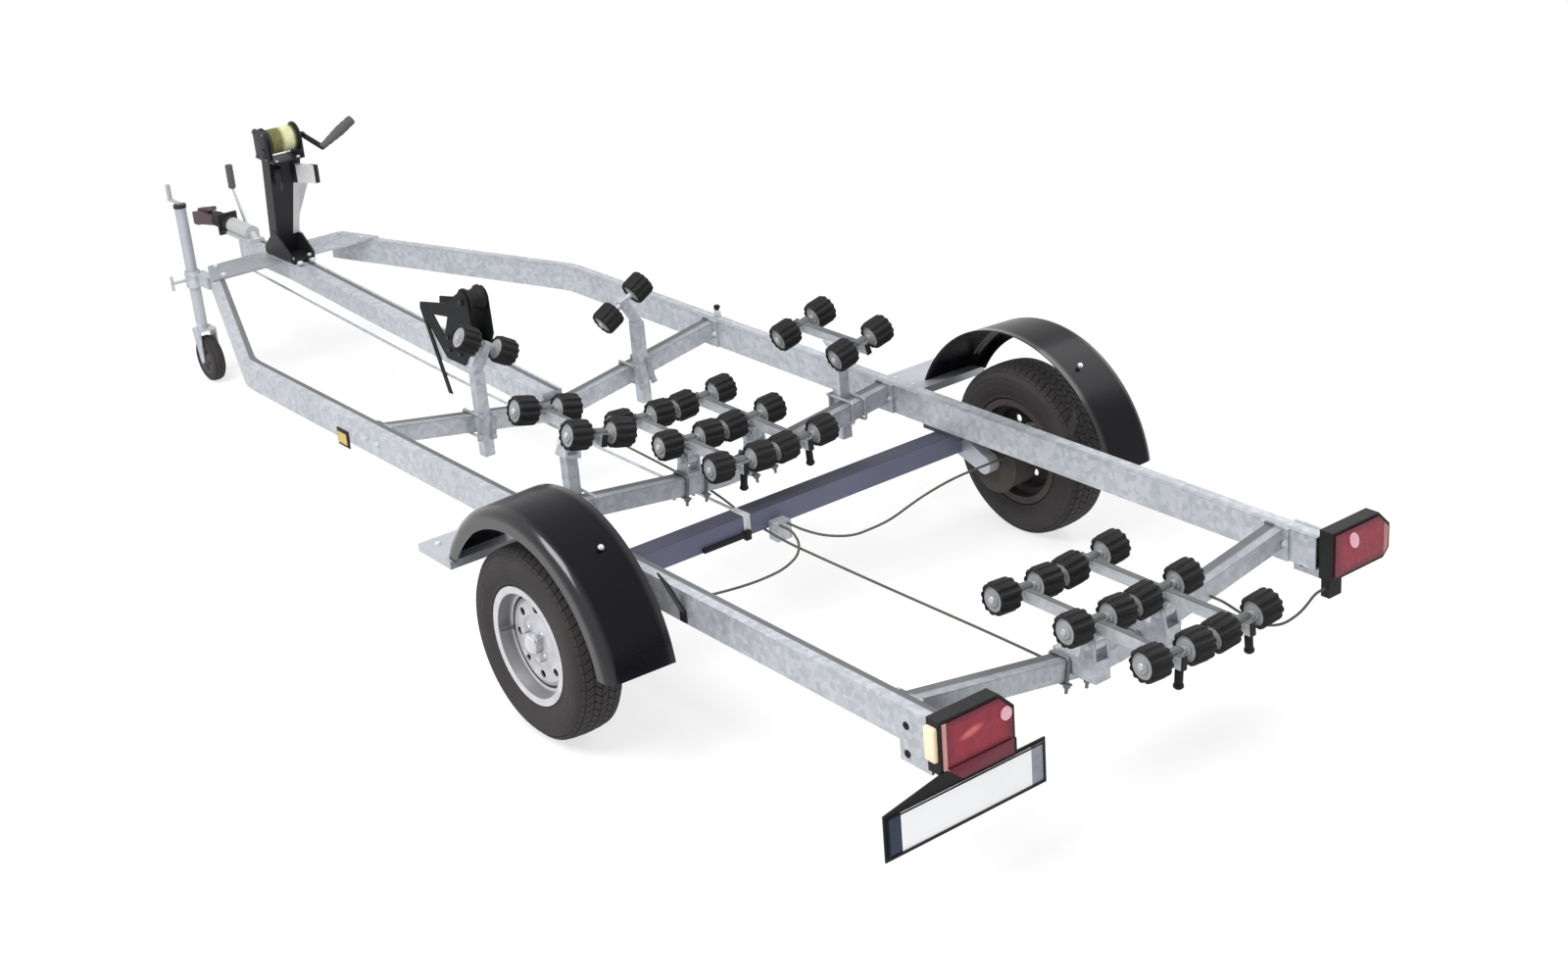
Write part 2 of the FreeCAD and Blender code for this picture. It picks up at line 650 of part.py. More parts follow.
def axle_beam():
    half = "axle_size / 2"
    tube = block("-" + AXLE_END, "axle_ahead - " + half, "axle_height - " + half, "2 * " + AXLE_END,
                 "axle_size",
                 "axle_size")
    pads = []
    for side in (REACH, "-rail_half_width"):
        pads.append(block(side, "axle_ahead - axle_pad / 2", "axle_height + " + half, "rail_width",
                          "axle_pad",
                          "%s - axle_height - %s" % (RAIL_LOW, half)))
    return fuse(tube, *pads)


def swing_arm():
    """Trailing arm with its stub axle and brake shield."""
    boss = rod("x", AXLE_END, "axle_ahead", "axle_height", "arm_radius", "arm_thick")
    tip = rod("x", AXLE_END, "0", "tyre_radius", "arm_tip", "arm_thick")
    web = plate("YZ_Plane", [("0", "tyre_radius + arm_tip"), ("0", "tyre_radius - arm_tip"),
                             ("axle_ahead", "axle_height - arm_radius"),
                             ("axle_ahead", "axle_height + arm_radius")],
                "arm_thick", AXLE_END, middle=False)
    stub = rod("x", AXLE_END, "0", "tyre_radius", "stub_radius", "%s - %s" % (WHEEL, AXLE_END))
    shield = rod("x", WHEEL + " - drum_start - drum_clear - shield_thick", "0", "tyre_radius",
                 "shield_radius",
                 "shield_thick")
    return fuse(boss, tip, web, stub, shield)


node(axle_beam(), "axle_beam")
node(both(swing_arm()), "swing_arms")


# Wheels

def rim():
    """Steel rim with its disc, and the brake drum behind it."""
    back = "disc_face - disc_wall"
    shell = [("-rim_half", "flange_radius"), ("-rim_half + rim_wall", "flange_radius"),
             ("-rim_half + rim_wall + 2", "bead_radius + 1"), ("-34", "bead_radius - 1"),
             ("-24", "well_radius"),
             ("14", "well_radius"), ("27", "bead_radius - 1"), ("rim_half - rim_wall - 2", "bead_radius + 1"),
             ("rim_half - rim_wall", "flange_radius"), ("rim_half", "flange_radius"),
             ("rim_half - 2", "bead_radius - 5"), ("disc_face + 2", "bead_radius - 7"),
             ("disc_face - 5", "well_radius - 6"), ("disc_face", "disc_outer"), ("disc_face", "disc_inner"),
             ("disc_face + hub_rise", "hub_radius + 4"), ("disc_face + hub_rise", "hub_bore"),
             (back + " + hub_rise", "hub_bore"), (back + " + hub_rise", "hub_radius + 2"),
             (back, "disc_inner - 2"),
             (back, "disc_outer + 2"), ("14", "well_radius - rim_wall"), ("-24", "well_radius - rim_wall"),
             ("-34", "bead_radius - 7"), ("-rim_half + 2", "bead_radius - 5")]
    body = turned(shell)
    hole = sketch(body, "YZ_Plane", [], "2 * disc_face", [("vent_ring", "0", "vent_radius")])
    vent = pad(body, hole, "2 * disc_face", kind="Pocket", middle=False)
    ring = body.newObject("PartDesign::PolarPattern", "Vents")
    ring.Originals = [vent]
    ring.Axis = (hole, ["N_Axis"])
    ring.Occurrences = 8
    ring.Angle = 360
    body.Tip = ring
    face = back + " + hub_rise"
    drum = turned([("-drum_start", "stub_radius + stub_gap"), ("-drum_start", "drum_radius"),
                   ("-drum_end", "drum_radius"), ("-drum_end", "hub_radius"), (face, "hub_radius"),
                   (face, "hub_bore - 1"), (face + " + cap_long", "hub_bore - 1"),
                   (face + " + cap_long + 5", "hub_bore - 8"), (face + " + cap_long + 5", "0"), ("0", "0"),
                   ("0", "stub_radius + stub_gap")])
    whole = fuse(body, drum)
    drive(whole, x=WHEEL, z="tyre_radius")
    return whole


def tyre():
    side = [("rim_half - rim_wall - 2", "bead_radius + 3"), ("rim_half - rim_wall - seat_gap",
                                                             "flange_radius + seat_gap"),
            ("tyre_half", "(flange_radius + tyre_radius) / 2"), ("tyre_half - 6", "tyre_radius - 24"),
            ("tread_half", "tyre_radius - tread_drop"), ("tread_half / 3", "tyre_radius")]
    body = turned([("-(%s)" % a, b) for a, b in side] + side[::-1])
    drive(body, x=WHEEL, z="tyre_radius")
    return body


def sided(name, item):
    """A piece of its own on each side."""
    node(item, name + "_right")
    node(mirror(item), name + "_left", moved=False)


sided("wheel_rim", rim())
sided("tyre", tyre())


# Mudguards

STEP_WIDE = "(guard_in + guard_width + step_over)"


def mudguard():
    """A bent sheet over the wheel, rounded over into a side skirt, cut level at both ends."""
    def line(depth):
        edge = "%s + guard_width - %s" % (GUARD_INNER, depth)
        return [(GUARD_INNER, "guard_radius - " + depth),
                ("%s + guard_width - guard_round" % GUARD_INNER, "guard_radius - guard_crown - " + depth),
                (edge, "guard_radius - guard_crown - guard_round"),
                (edge, "guard_radius - guard_crown - guard_round - guard_skirt")]
    a, b, c, d = line("0")
    e, f, g, h = line("guard_wall")
    body = turned([a, b + ("right", "guard_round"), c, d, h, g + ("left", "guard_round - guard_wall"), f, e],
                  180)
    ends = [("-guard_radius - 1", "-1"), ("guard_radius + 1", "-1"),
            ("guard_radius + 1", "step_top - guard_height"),
            ("0", "step_top - guard_height"), ("0", "guard_rear_end - guard_height"),
            ("-guard_radius - 1", "guard_rear_end - guard_height")]
    pad(body, sketch(body, "YZ_Plane", ends), "2 * (%s + guard_width + 1)" % GUARD_INNER, kind="Pocket")
    drive(body, z="guard_height")
    body.setExpression("Placement.Base.y", bound(AXLE + " - guard_back"))
    return body


def step_plate():
    """Folded plate on the rail, under the front end of the mudguard."""
    whole = block("rail_half_width", "step_start", "step_top - step_high", STEP_WIDE, "step_long",
                  "step_high")
    inside = block("rail_half_width + step_wall", "step_start + step_wall", "step_top - step_high",
                   STEP_WIDE + " - 2 * step_wall", "step_long - 2 * step_wall", "step_high - step_wall")
    return cut(whole, inside)


def rear_stay():
    """Flat bar from the rail up to the inner side of the mudguard."""
    foot = "stay_thick * cos(stay_slope)"
    low = "rail_top - stay_drop"
    tip = "guard_height + guard_radius"
    run = "(%s - %s) / tan(stay_slope)" % (tip, low)
    bar = plate("XZ_Plane", [("rail_half_width", low + " - stay_foot"),
                             ("rail_half_width + " + foot, low + " - stay_foot"),
                             ("rail_half_width + " + foot, low),
                             ("rail_half_width + %s + %s" % (foot, run), tip),
                             ("rail_half_width + %s" % run, tip),
                             ("rail_half_width", low)], "stay_width", "stay_place")
    inside = rod("x", "rail_half_width", "-guard_back", "guard_height",
                 "guard_radius - guard_wall - seat_gap",
                 STEP_WIDE)
    return common(bar, inside)


guard = mudguard()
node(guard, "mudguard_right", moved=False)
node(mirror(guard), "mudguard_left", moved=False)
node(both(together(step_plate(), rear_stay())), "mudguard_stays")


# Lamps and plate

LAMP_FACE = "(rail_rear + lamp_plate + lamp_depth)"


def lamp_outline(middle, inset, low_cut):
    """A lamp seen from behind, its upper right corner cut off, on the right lamp the lower one too."""
    left = "(%s) - lamp_width / 2 + %s" % (middle, inset)
    right = "(%s) + lamp_width / 2 - %s" % (middle, inset)
    low, high = "lamp_low + " + inset, "lamp_low + lamp_height - " + inset
    leg = "(lamp_cut - %s * (2 - sqrt(2)))" % inset
    lower = [(right, low)]
    if low_cut:
        lower = [("%s - %s / 2" % (right, leg), low), (right, "%s + %s / 2" % (low, leg))]
    return [(left, low)] + lower + [(right, "%s - %s" % (high, leg)), ("%s - %s" % (right, leg), high),
                                    (left, high)]


def tail_lamp(middle, low_cut):
    body = plate("XZ_Plane", lamp_outline(middle, "0", low_cut), "lamp_depth", "rail_rear + lamp_plate",
                 middle=False)
    pad(body, sketch(body, "XZ_Plane", lamp_outline(middle, "lens_edge", low_cut), LAMP_FACE), "lens_depth",
        kind="Pocket", middle=False)
    return body


def lamp_lens(middle, low_cut):
    return plate("XZ_Plane", lamp_outline(middle, "lens_edge", low_cut), "lens_depth + lens_proud",
                 LAMP_FACE + " - lens_depth", middle=False)


def lamp_bracket(middle, low_cut):
    return plate("XZ_Plane", lamp_outline(middle, "lens_edge", low_cut), "lamp_plate", "rail_rear",
                 middle=False)


def plate_holder():
    """Tray round the number plate, reaching up over the rim of the left lamp."""
    left, right = "-plate_outer - holder_edge", "-plate_outer + plate_width + holder_edge"
    low, high = "plate_low - holder_edge", "plate_low + plate_height + holder_edge"
    lamp_start, lamp_end = "-lamp_left - lamp_width / 2", "-lamp_left + lamp_width / 2"
    outline = [(left, low), (right, low), (right, high), (lamp_end, high),
               (lamp_end, "lamp_low + holder_lap"),
               (lamp_start, "lamp_low + holder_lap"), (left, high)]
    return plate("XZ_Plane", outline, "holder_thick", LAMP_FACE, middle=False)


LAMP_BLOCK = "(lamp_right - lamp_width / 2 + lamp_block_in)"
lamps = [("(-lamp_left)", False), ("lamp_right", True)]
housings = [tail_lamp(*lamp) for lamp in lamps]
cable_block = block(LAMP_BLOCK, "-rail_rear - lamp_plate - lamp_block_deep", "lamp_low - lamp_block_high",
                    "lamp_block", "lamp_block_deep", "lamp_block_high")
node(together(plate_holder(), *[lamp_bracket(*lamp) for lamp in lamps]), "lamp_brackets")
node(together(housings[0], fuse(housings[1], cable_block)), "tail_lamps")
node(together(*[lamp_lens(*lamp) for lamp in lamps]), "tail_lamp_lenses")
node(plate("XZ_Plane", box_outline("-plate_outer", "plate_width - plate_outer", "plate_low",
                                   "plate_low + plate_height"),
           "plate_thick", LAMP_FACE + " + holder_thick", middle=False), "number_plate")
reflector_low = "rail_top - reflector_drop - reflector_height / 2"
node(both(plate("YZ_Plane", box_outline("reflector_place", "reflector_place + reflector_width", reflector_low,
                                        reflector_low + " + reflector_height"),
                "reflector_thick", "rail_half_width", middle=False)), "side_reflectors")


# Coupling

DRAW = "(rail_top + draw_rise)"
NECK = "(housing_end + gaiter_long)"


def overrun_housing():
    """Casting on the drawbar, with its front flange and the rubber gaiter."""
    base = block("-housing_half", "housing_start", "rail_top", "2 * housing_half",
                 "housing_end - housing_start",
                 "housing_base")
    tube = rod("y", "0", "housing_start + housing_half", DRAW, "housing_tube",
               "housing_end - housing_start - housing_half")
    side = plate("YZ_Plane", [("housing_start", "rail_top"), ("housing_end", "rail_top"),
                              ("housing_end", DRAW + " + housing_tube"),
                              ("housing_start + 2 * housing_half", DRAW + " + housing_tube"),
                              ("housing_start", "rail_top + housing_base")], "2 * flange_thick")
    flange = block("-flange_half", "housing_end - flange_thick", DRAW + " - flange_half", "2 * flange_half",
                   "flange_thick", "2 * flange_half")
    folds = [("0", "0"), ("0", "gaiter_radius - gaiter_fold")]
    for fold in range(4):
        folds.append(("gaiter_long * %s / 8" % (2 * fold + 1), "gaiter_radius"))
        folds.append(("gaiter_long * %s / 8" % (2 * fold + 2), "gaiter_radius - gaiter_fold"))
    folds.append(("gaiter_long", "0"))
    gaiter = turned(folds)
    gaiter.Placement = Placement(Vector(), Rotation(Vector(0, 0, 1), 90))
    drive(gaiter, y="housing_end", z=DRAW)
    return fuse(base, tube, side, flange, gaiter)


def coupling_head():
    """Cast head over the tow ball, open below, with its neck and closing handle."""
    low = "ball_height - head_skirt"
    plan = plate("XY_Plane", [("-neck_half", NECK), ("neck_half", NECK), (HEAD_RADIUS, BALL),
                              ("-" + HEAD_RADIUS, BALL)],
                 "2 * neck_high", "ball_height", middle=True)
    dome = rod("z", "0", BALL, "ball_height - neck_high", HEAD_RADIUS, "2 * neck_high")
    side = plate("YZ_Plane", [(NECK, DRAW + " - neck_high / 2"),
                              ("%s - 1.6 * %s" % (BALL, HEAD_RADIUS), low + " + 8"),
                              ("%s - %s" % (BALL, HEAD_RADIUS), low), ("%s + %s" % (BALL, HEAD_RADIUS), low),
                              ("%s + %s" % (BALL, HEAD_RADIUS), "ball_height + 12"),
                              ("%s + 0.4 * %s" % (BALL, HEAD_RADIUS), "ball_height + " + HEAD_RADIUS),
                              ("%s - %s" % (BALL, HEAD_RADIUS), DRAW + " + neck_high / 4"),
                              (NECK, DRAW + " + neck_high / 2")], "3 * " + HEAD_RADIUS)
    handle = plate("YZ_Plane", [("%s - %s" % (BALL, HEAD_RADIUS), DRAW), (BALL, DRAW),
                                (BALL, DRAW + " + neck_high / 3"),
                                (BALL + " - 3 * neck_high", DRAW + " + neck_high"),
                                (BALL + " - 3 * neck_high - 8", DRAW + " + neck_high - 14")], "neck_half")
    bore = rod("z", "0", BALL, low, "ball_radius + ball_gap", "head_skirt + ball_radius")
    return cut(fuse(common(fuse(plan, dome), side), handle), bore)


def handbrake_lever():
    """Lever beside the overrun housing, and under the drawbar the plate that pulls the brake rod."""
    foot = ("lever_place", "rail_top + housing_base")
    top = ("lever_place + lever_lean", "lever_top - grip_long")
    blade = plate("YZ_Plane", [(foot[0] + " - 14", foot[1]), (foot[0] + " + 14", foot[1]),
                               (top[0] + " + 6", top[1]), (top[0] + " - 6", top[1])],
                  "lever_thick", "housing_half", middle=False)
    grip = rod("z", "housing_half + lever_thick / 2", top[0], top[1], "grip_radius", "grip_long")
    carrier = plate("YZ_Plane", [("rod_front", "rod_high - 12"), ("rod_front + 24", "rod_high - 12"),
                                 ("rod_front + 36", "rail_top - beam_size"),
                                 ("rod_front", "rail_top - beam_size")],
                    "carrier_thick", "-rod_side")
    return together(fuse(blade, grip), carrier)


def brake_rod():
    """Rod under the drawbar to the cable yoke behind the axle."""
    back = "axle_ahead - axle_size / 2"
    side = "-rod_side"
    rod_line = run_of_rod("BrakeRod", [(side, back + " - yoke_deep / 2", "rod_low"),
                                       (side, "rod_bend", "rod_low"),
                                       (side, "rod_front - seat_gap", "rod_high")], "rod_radius")
    yoke = block("-rod_side - 1.5 * yoke_half", back + " - yoke_deep", "rod_low - 12", "2 * yoke_half",
                 "yoke_deep",
                 "axle_height - rod_low")
    return fuse(rod_line, yoke)


node(overrun_housing(), "overrun_housing")
node(coupling_head(), "coupling_head")
node(handbrake_lever(), "handbrake_lever")
node(brake_rod(), "brake_rod")


# Winch

PLATE_TOP = "(rail_top + front_plate_thick)"
POST_LOW = "(%s + foot_thick)" % PLATE_TOP
POST_TOP = "(%s + post_high)" % POST_LOW
DRUM = ("(post_place - post_lean - winch_back)", "(%s + winch_rise)" % POST_TOP)


def post_middle(height):
    """Middle of the leaning post ahead of the axle at a height."""
    return "(post_place - post_lean * (%s - %s) / post_high)" % (height, POST_LOW)


def post_column():
    outlines = []
    for height, half in ((POST_LOW, "post_low_half"), (POST_TOP, "post_top_half")):
        middle = post_middle(height)
        rear, front = middle + " - post_deep / 2", middle + " + post_deep / 2"
        outlines += [height, box_outline("-" + half, half, rear, front)]
    return lofted(*outlines)


def gusset():
    """Upright plate beside the foot of the post, sloping down to both ends of the foot plate."""
    rear, front = "foot_front - foot_long", "foot_front"
    edge = POST_LOW + " + gusset_edge"
    outline = [(rear, POST_LOW), (front, POST_LOW), (front, edge),
               ("post_place - post_deep / 2", POST_LOW + " + gusset_high"),
               (rear, edge)]
    return plate("YZ_Plane", outline, "gusset_thick", "foot_half - gusset_thick", middle=False)


def winch_frame():
    """Two round topped side plates on a floor, with the drum's shaft between them."""
    along, high = DRUM
    low = along + " - cheek_radius"
    cheek = fuse(block("winch_half - winch_cheek", low, POST_TOP, "winch_cheek", "2 * cheek_radius",
                       "winch_rise"),
                 rod("x", "winch_half - winch_cheek", along, high, "cheek_radius", "winch_cheek"))
    floor = block("-winch_half", low, POST_TOP, "2 * winch_half", "2 * cheek_radius", "winch_cheek")
    shaft = rod("x", "-winch_half - shaft_radius", along, high, "shaft_radius",
                "2 * winch_half + shaft_radius + shaft_out")
    return fuse(cheek, mirror(cheek), floor, shaft)


def bow_stop():
    """Block with two arms that takes the boat's stem, seated on the leaning post."""
    back = post_middle("stop_low") + " - post_deep / 2"
    tip = back + " - stop_deep"
    inner = back + " - stop_thick"
    outline = [("-stop_half", tip), ("stop_thick - stop_half", tip), ("-stop_thick", inner),
               ("stop_thick", inner),
               ("stop_half - stop_thick", tip), ("stop_half", tip), ("2 * stop_thick", back),
               ("-2 * stop_thick", back)]
    return cut(plate("XY_Plane", outline, "stop_high", "stop_low", middle=False), post_column())


def post_brace():
    """Flat bar on the front of the post, leaning out to the right."""
    outlines = []
    for height, inner in (("brace_low", "brace_side"), ("brace_top", "(brace_side + brace_out)")):
        face = post_middle(height) + " + post_deep / 2"
        outlines += [height, box_outline(inner, inner + " + brace_width", face, face + " + brace_thick")]
    return lofted(*outlines)


def winch_crank():
    """Flat arm on the shaft with a tapered grip that slopes up outwards."""
    along, high = DRUM
    end = (along + " - crank_long", high + " - crank_drop")
    start = "winch_half + shaft_out"
    half = "crank_width / 2"
    arm = plate("YZ_Plane", [(along, "%s - %s" % (high, half)), (along, "%s + %s" % (high, half)),
                             (end[0], "%s + %s" % (end[1], half)), (end[0], "%s - %s" % (end[1], half))],
                "crank_thick", start, middle=False)
    ends = [rod("x", start, a, b, half, "crank_thick") for a, b in (DRUM, end)]
    grip = turned([("0", "0"), ("0", half + " - 2"), ("0.6 * crank_grip", half + " + 6"),
                   ("crank_grip", half + " + 2"), ("crank_grip", "0")])
    grip.Placement = Placement(Vector(), Rotation(Vector(0, -1, 0), value("crank_tilt")))
    grip.setExpression("Placement.Rotation.Angle", bound("crank_tilt"))
    drive(grip, x=start + " + crank_thick / 2", y=end[0], z=end[1])
    return fuse(arm, *ends, grip)


foot = block("-foot_half", "foot_front - foot_long", PLATE_TOP, "2 * foot_half", "foot_long", "foot_thick")
node(fuse(foot, post_column(), gusset(), mirror(gusset())), "winch_post")
node(together(winch_frame(), bow_stop(), post_brace()), "winch_frame")
strap_half = "(winch_half - winch_cheek - strap_gap)"
node(cut(rod("x", "-" + strap_half, DRUM[0], DRUM[1], "drum_web", "2 * " + strap_half),
         rod("x", "-" + strap_half, DRUM[0], DRUM[1], "shaft_radius", "2 * " + strap_half)), "winch_strap")
node(winch_crank(), "winch_crank")


# Jockey wheel

SIDE = "(-jockey_side)"
COLLAR_LOW = "(jockey_low - collar_high)"


def jockey_clamp():
    """Ring on an arm from the left rail, with its screw and cross handle."""
    ring = rod("z", SIDE, "jockey_place", "jockey_clamp_low", "jockey_ring", "jockey_clamp_high")
    bar = cut(block(SIDE + " + 5", "rail_front - 60", "jockey_clamp_low + 10", "45",
                    "jockey_place - rail_front + 60",
                    "jockey_clamp_high - 20"), mirror(side_rail(hollowed=False)))
    bore = rod("z", SIDE, "jockey_place", "jockey_clamp_low", "jockey_bore", "jockey_clamp_high")
    end = SIDE + " - jockey_ring - handle_reach"
    height = "jockey_clamp_low + jockey_clamp_high / 2"
    screw = rod("x", end, "jockey_place", height, "handle_radius", "handle_reach + 2")
    handle = rod("z", end, "jockey_place", height + " - handle_reach / 2", "handle_radius", "handle_reach")
    return cut(fuse(ring, bar, screw, handle), bore)


def jockey_tube():
    """Column with its crank on top and a spigot below."""
    tube = rod("z", SIDE, "jockey_place", "jockey_low", "jockey_tube", "jockey_top - jockey_low")
    spigot = rod("z", SIDE, "jockey_place", COLLAR_LOW + " + seat_gap", "spigot_radius", "collar_high")
    cap = rod("z", SIDE, "jockey_place", "jockey_top", "jockey_tube + 3", "14")
    crank = block(SIDE + " - 8", "jockey_place - 8", "jockey_top + 14", "16", "110", "8")
    knob = rod("z", SIDE, "jockey_place + 92", "jockey_top + 22", "10", "60")
    return fuse(tube, spigot, cap, crank, knob)


def jockey_fork():
    """Fork that swivels on the spigot and carries the wheel's axle behind it."""
    wide = "(jockey_half + fork_gap + fork_wall)"
    wheel = ("(jockey_place - fork_trail)", "jockey_wheel")
    collar = rod("z", SIDE, "jockey_place", COLLAR_LOW, "jockey_tube", "collar_high - run_gap")
    top = block(SIDE + " - " + wide, wheel[0] + " - jockey_tube", COLLAR_LOW + " - fork_wall", "2 * " + wide,
                "fork_trail + 2 * jockey_tube", "fork_wall")
    pin = rod("x", SIDE + " - " + wide, wheel[0], wheel[1], "pin_radius", "2 * " + wide)
    legs = []
    for side in (" - " + wide, " + " + wide + " - fork_wall"):
        legs.append(plate("YZ_Plane", [(wheel[0] + " - 2 * pin_radius", wheel[1]),
                                       (wheel[0] + " + 2 * pin_radius", wheel[1]),
                                       ("jockey_place + jockey_tube", COLLAR_LOW),
                                       (wheel[0] + " - jockey_tube", COLLAR_LOW)],
                          "fork_wall", SIDE + side, middle=False))
        legs.append(rod("x", SIDE + side, wheel[0], wheel[1], "2 * pin_radius", "fork_wall"))
    bore = rod("z", SIDE, "jockey_place", COLLAR_LOW, "spigot_radius + run_gap", "collar_high")
    return cut(fuse(collar, top, pin, *legs), bore)


def jockey_wheel():
    """Solid wheel, hollowed on both sides between its hub and its rim."""
    web = "jockey_half - jockey_web"
    side = [("jockey_half", "pin_radius + run_gap"), ("jockey_half", "jockey_hub"), (web, "jockey_hub + 4"),
            (web, "jockey_wheel - 28"), ("jockey_half - 4", "jockey_wheel - 22"),
            ("jockey_half - 2", "jockey_wheel - 8"),
            ("jockey_half / 2", "jockey_wheel")]
    body = turned([("-(%s)" % a, b) for a, b in side] + side[::-1])
    drive(body, x=SIDE, z="jockey_wheel")
    body.setExpression("Placement.Base.y", bound("jockey_place - fork_trail + " + AXLE))
    return body


node(jockey_clamp(), "jockey_clamp")
node(jockey_tube(), "jockey_tube")
node(jockey_fork(), "jockey_fork")
node(jockey_wheel(), "jockey_wheel", moved=False)


# Rollers

RIBS = 12
SPINDLE = "(roller_half + roller_long / 2 + spindle_over)"


def roller_pair():
    """Two ribbed rollers on one spindle, at the origin along X."""
    points = []
    for i in range(2 * RIBS):
        radius = "(roller_radius - %s * roller_groove)" % (i % 2)
        points.append(("%s * cos(%s)" % (radius, 180 * i / RIBS), "%s * sin(%s)" % (radius, 180 * i / RIBS)))
    hole = [("0", "0", "spindle_radius + run_gap")]
    return together(*[plate("YZ_Plane", points, "roller_long", side + "roller_half", hole)
                      for side in ("-", "")])


def tilted(item, x, y, z, tilt):
    """Set a piece made at the origin on the right side, leaning to the keel."""
    holder = together(item)
    holder.Placement = Placement(Vector(), Rotation(Vector(0, -1, 0), value(tilt)))
    holder.setExpression("Placement.Rotation.Angle", bound(tilt))
    drive(holder, x=x, z=z)
    holder.setExpression("Placement.Base.y", bound("%s + %s" % (y, AXLE)))
    return holder


def rocker(pitch, rows):
    """Bar with its spindles and pivot lug, made at the origin: pivot below."""
    half = "(%s * %s + bar_over)" % (pitch, rows[-1])
    bar = block("-bar_width / 2", "-" + half, "-bar_height / 2 - bar_drop", "bar_width", "2 * " + half,
                "bar_height")
    spindles = [rod("x", "-" + SPINDLE, "%s * %s" % (pitch, row), "0", "spindle_radius", "2 * " + SPINDLE)
                for row in rows]
    low = "-bar_height / 2 - bar_drop"
    lug = plate("YZ_Plane", [("-lug_half", low), ("-lug_radius", "-pivot_drop"),
                             ("lug_radius", "-pivot_drop"),
                             ("lug_half", low)], "bar_width")
    eye = rod("x", "-bar_width / 2", "0", "-pivot_drop", "lug_radius", "bar_width")
    hole = rod("x", "-bar_width / 2", "0", "-pivot_drop", "pivot_radius + run_gap", "bar_width")
    return cut(fuse(bar, *spindles, lug, eye), hole)


def pivot_fork():
    """Ears and pin that carry a rocker, made at the rocker's origin."""
    inside = "(bar_width / 2 + ear_gap)"
    low = "-pivot_drop - ear_low"
    ears = []
    for side in ("-%s - ear_thick" % inside, inside):
        ears.append(plate("YZ_Plane", [("-ear_half", low), ("ear_half", low),
                                       ("lug_radius - 2", "-pivot_drop"),
                                       ("2 - lug_radius", "-pivot_drop")], "ear_thick", side, middle=False))
        ears.append(rod("x", side, "0", "-pivot_drop", "lug_radius - 2", "ear_thick"))
    pin = rod("x", "-%s - ear_thick" % inside, "0", "-pivot_drop", "pivot_radius",
              "2 * (%s + ear_thick)" % inside)
    base = block("-%s - ear_thick" % inside, "-ear_half", low, "2 * (%s + ear_thick)" % inside,
                 "2 * ear_half",
                 "ear_thick")
    return fuse(*ears, pin, base)


def bank(name, pitch, rows, x, y, z, tilt):
    """A rocker and its roller pairs, with a mirrored bank on the left."""
    holders = [(name + "_rocker", tilted(rocker(pitch, rows), x, y, z, tilt))]
    for number, row in enumerate(rows, start=1):
        holder = tilted(roller_pair(), x, "%s + %s * %s" % (y, pitch, row), z, tilt)
        holders.append(("%s_rollers_%d" % (name, number), holder))
    for label, holder in holders:
        node(holder, label + "_right", moved=False)
        node(mirror(holder), label + "_left", moved=False)
    return tilted(pivot_fork(), x, y, z, tilt)


forks = [bank("rear", "row_pitch", (-1, 0, 1), "bank_side", "(-rear_bank_place)", "rear_bank_height",
              "bank_tilt"),
         bank("middle", "row_pitch", (-1, 0, 1), "bank_side", "middle_cross_place", "middle_bank_height",
              "bank_tilt"),
         bank("side", "side_pitch", (-0.5, 0.5), "side_bank_side", SIDE_ROW, "side_bank_height",
              "side_bank_tilt")]


def fork_base(side, height, tilt):
    """Where the foot of a pivot fork comes: across, and high."""
    return ("(%s + (pivot_drop + ear_low - 5) * sin(%s))" % (side, tilt),
            "(%s - (pivot_drop + ear_low - 5) * cos(%s))" % (height, tilt))


def saddle(fork, height, first, last, place, dip):
    """A bracket from a crossmember up to a pivot fork, cut to sit on the tube."""
    x, top = fork_base("bank_side", height, "bank_tilt")
    low = "(%s + cross_size / 3)" % dip
    half = "(bar_width / 2 + ear_thick)"
    web = block("%s - %s" % (x, half), first, low, "2 * " + half, "%s - %s" % (last, first),
                "%s - %s" % (top, low))
    drive(web, y="%s + %s" % (first, AXLE))
    cross = crossmember(place, dip, hollow=False)
    drive(cross, y=AXLE)
    return cut(fuse(fork, web), cross)


brackets = [saddle(forks[0], "rear_bank_height", "(-rear_bank_place - ear_half)",
                   "(-rear_cross_place + cross_size / 2)", "(-rear_cross_place)", "rear_cross_dip"),
            saddle(forks[1], "middle_bank_height", "(middle_cross_place - ear_half)",
                   "(middle_cross_place + ear_half)", "middle_cross_place", "middle_cross_dip")]
node(together(*brackets, *[mirror(bracket) for bracket in brackets]), "pivot_brackets", moved=False)


def column(x, row, low, top):
    """A square post, its middle at a row."""
    item = block("%s - side_post_size / 2" % x, "0", low, "side_post_size", "side_post_size",
                 "%s - %s" % (top, low))
    drive(item, y="%s - side_post_size / 2 + %s" % (row, AXLE))
    return item


def front_post():
    """A post behind the front crossmember, with the leaning stem of its roller pair."""
    stem = fuse(rod("x", "-" + SPINDLE, "0", "0", "spindle_radius", "2 * " + SPINDLE),
                block("-stem_half", "-stem_half", "-stem_drop - stem_half", "2 * stem_half", "2 * stem_half",
                      "stem_drop + 2 * stem_half"))
    return fuse(column("(front_pair_side + stem_drop * sin(front_pair_tilt))", FRONT_ROW, "front_post_low",
                       "front_post_top"),
                tilted(stem, "front_pair_side", FRONT_ROW, "front_pair_height", "front_pair_tilt"))


def side_post():
    """A post ahead of the middle crossmember, with the fork of its rocker."""
    x, top = fork_base("side_bank_side", "side_bank_height", "side_bank_tilt")
    return fuse(column(x, SIDE_ROW, "side_post_low", top), forks[2])


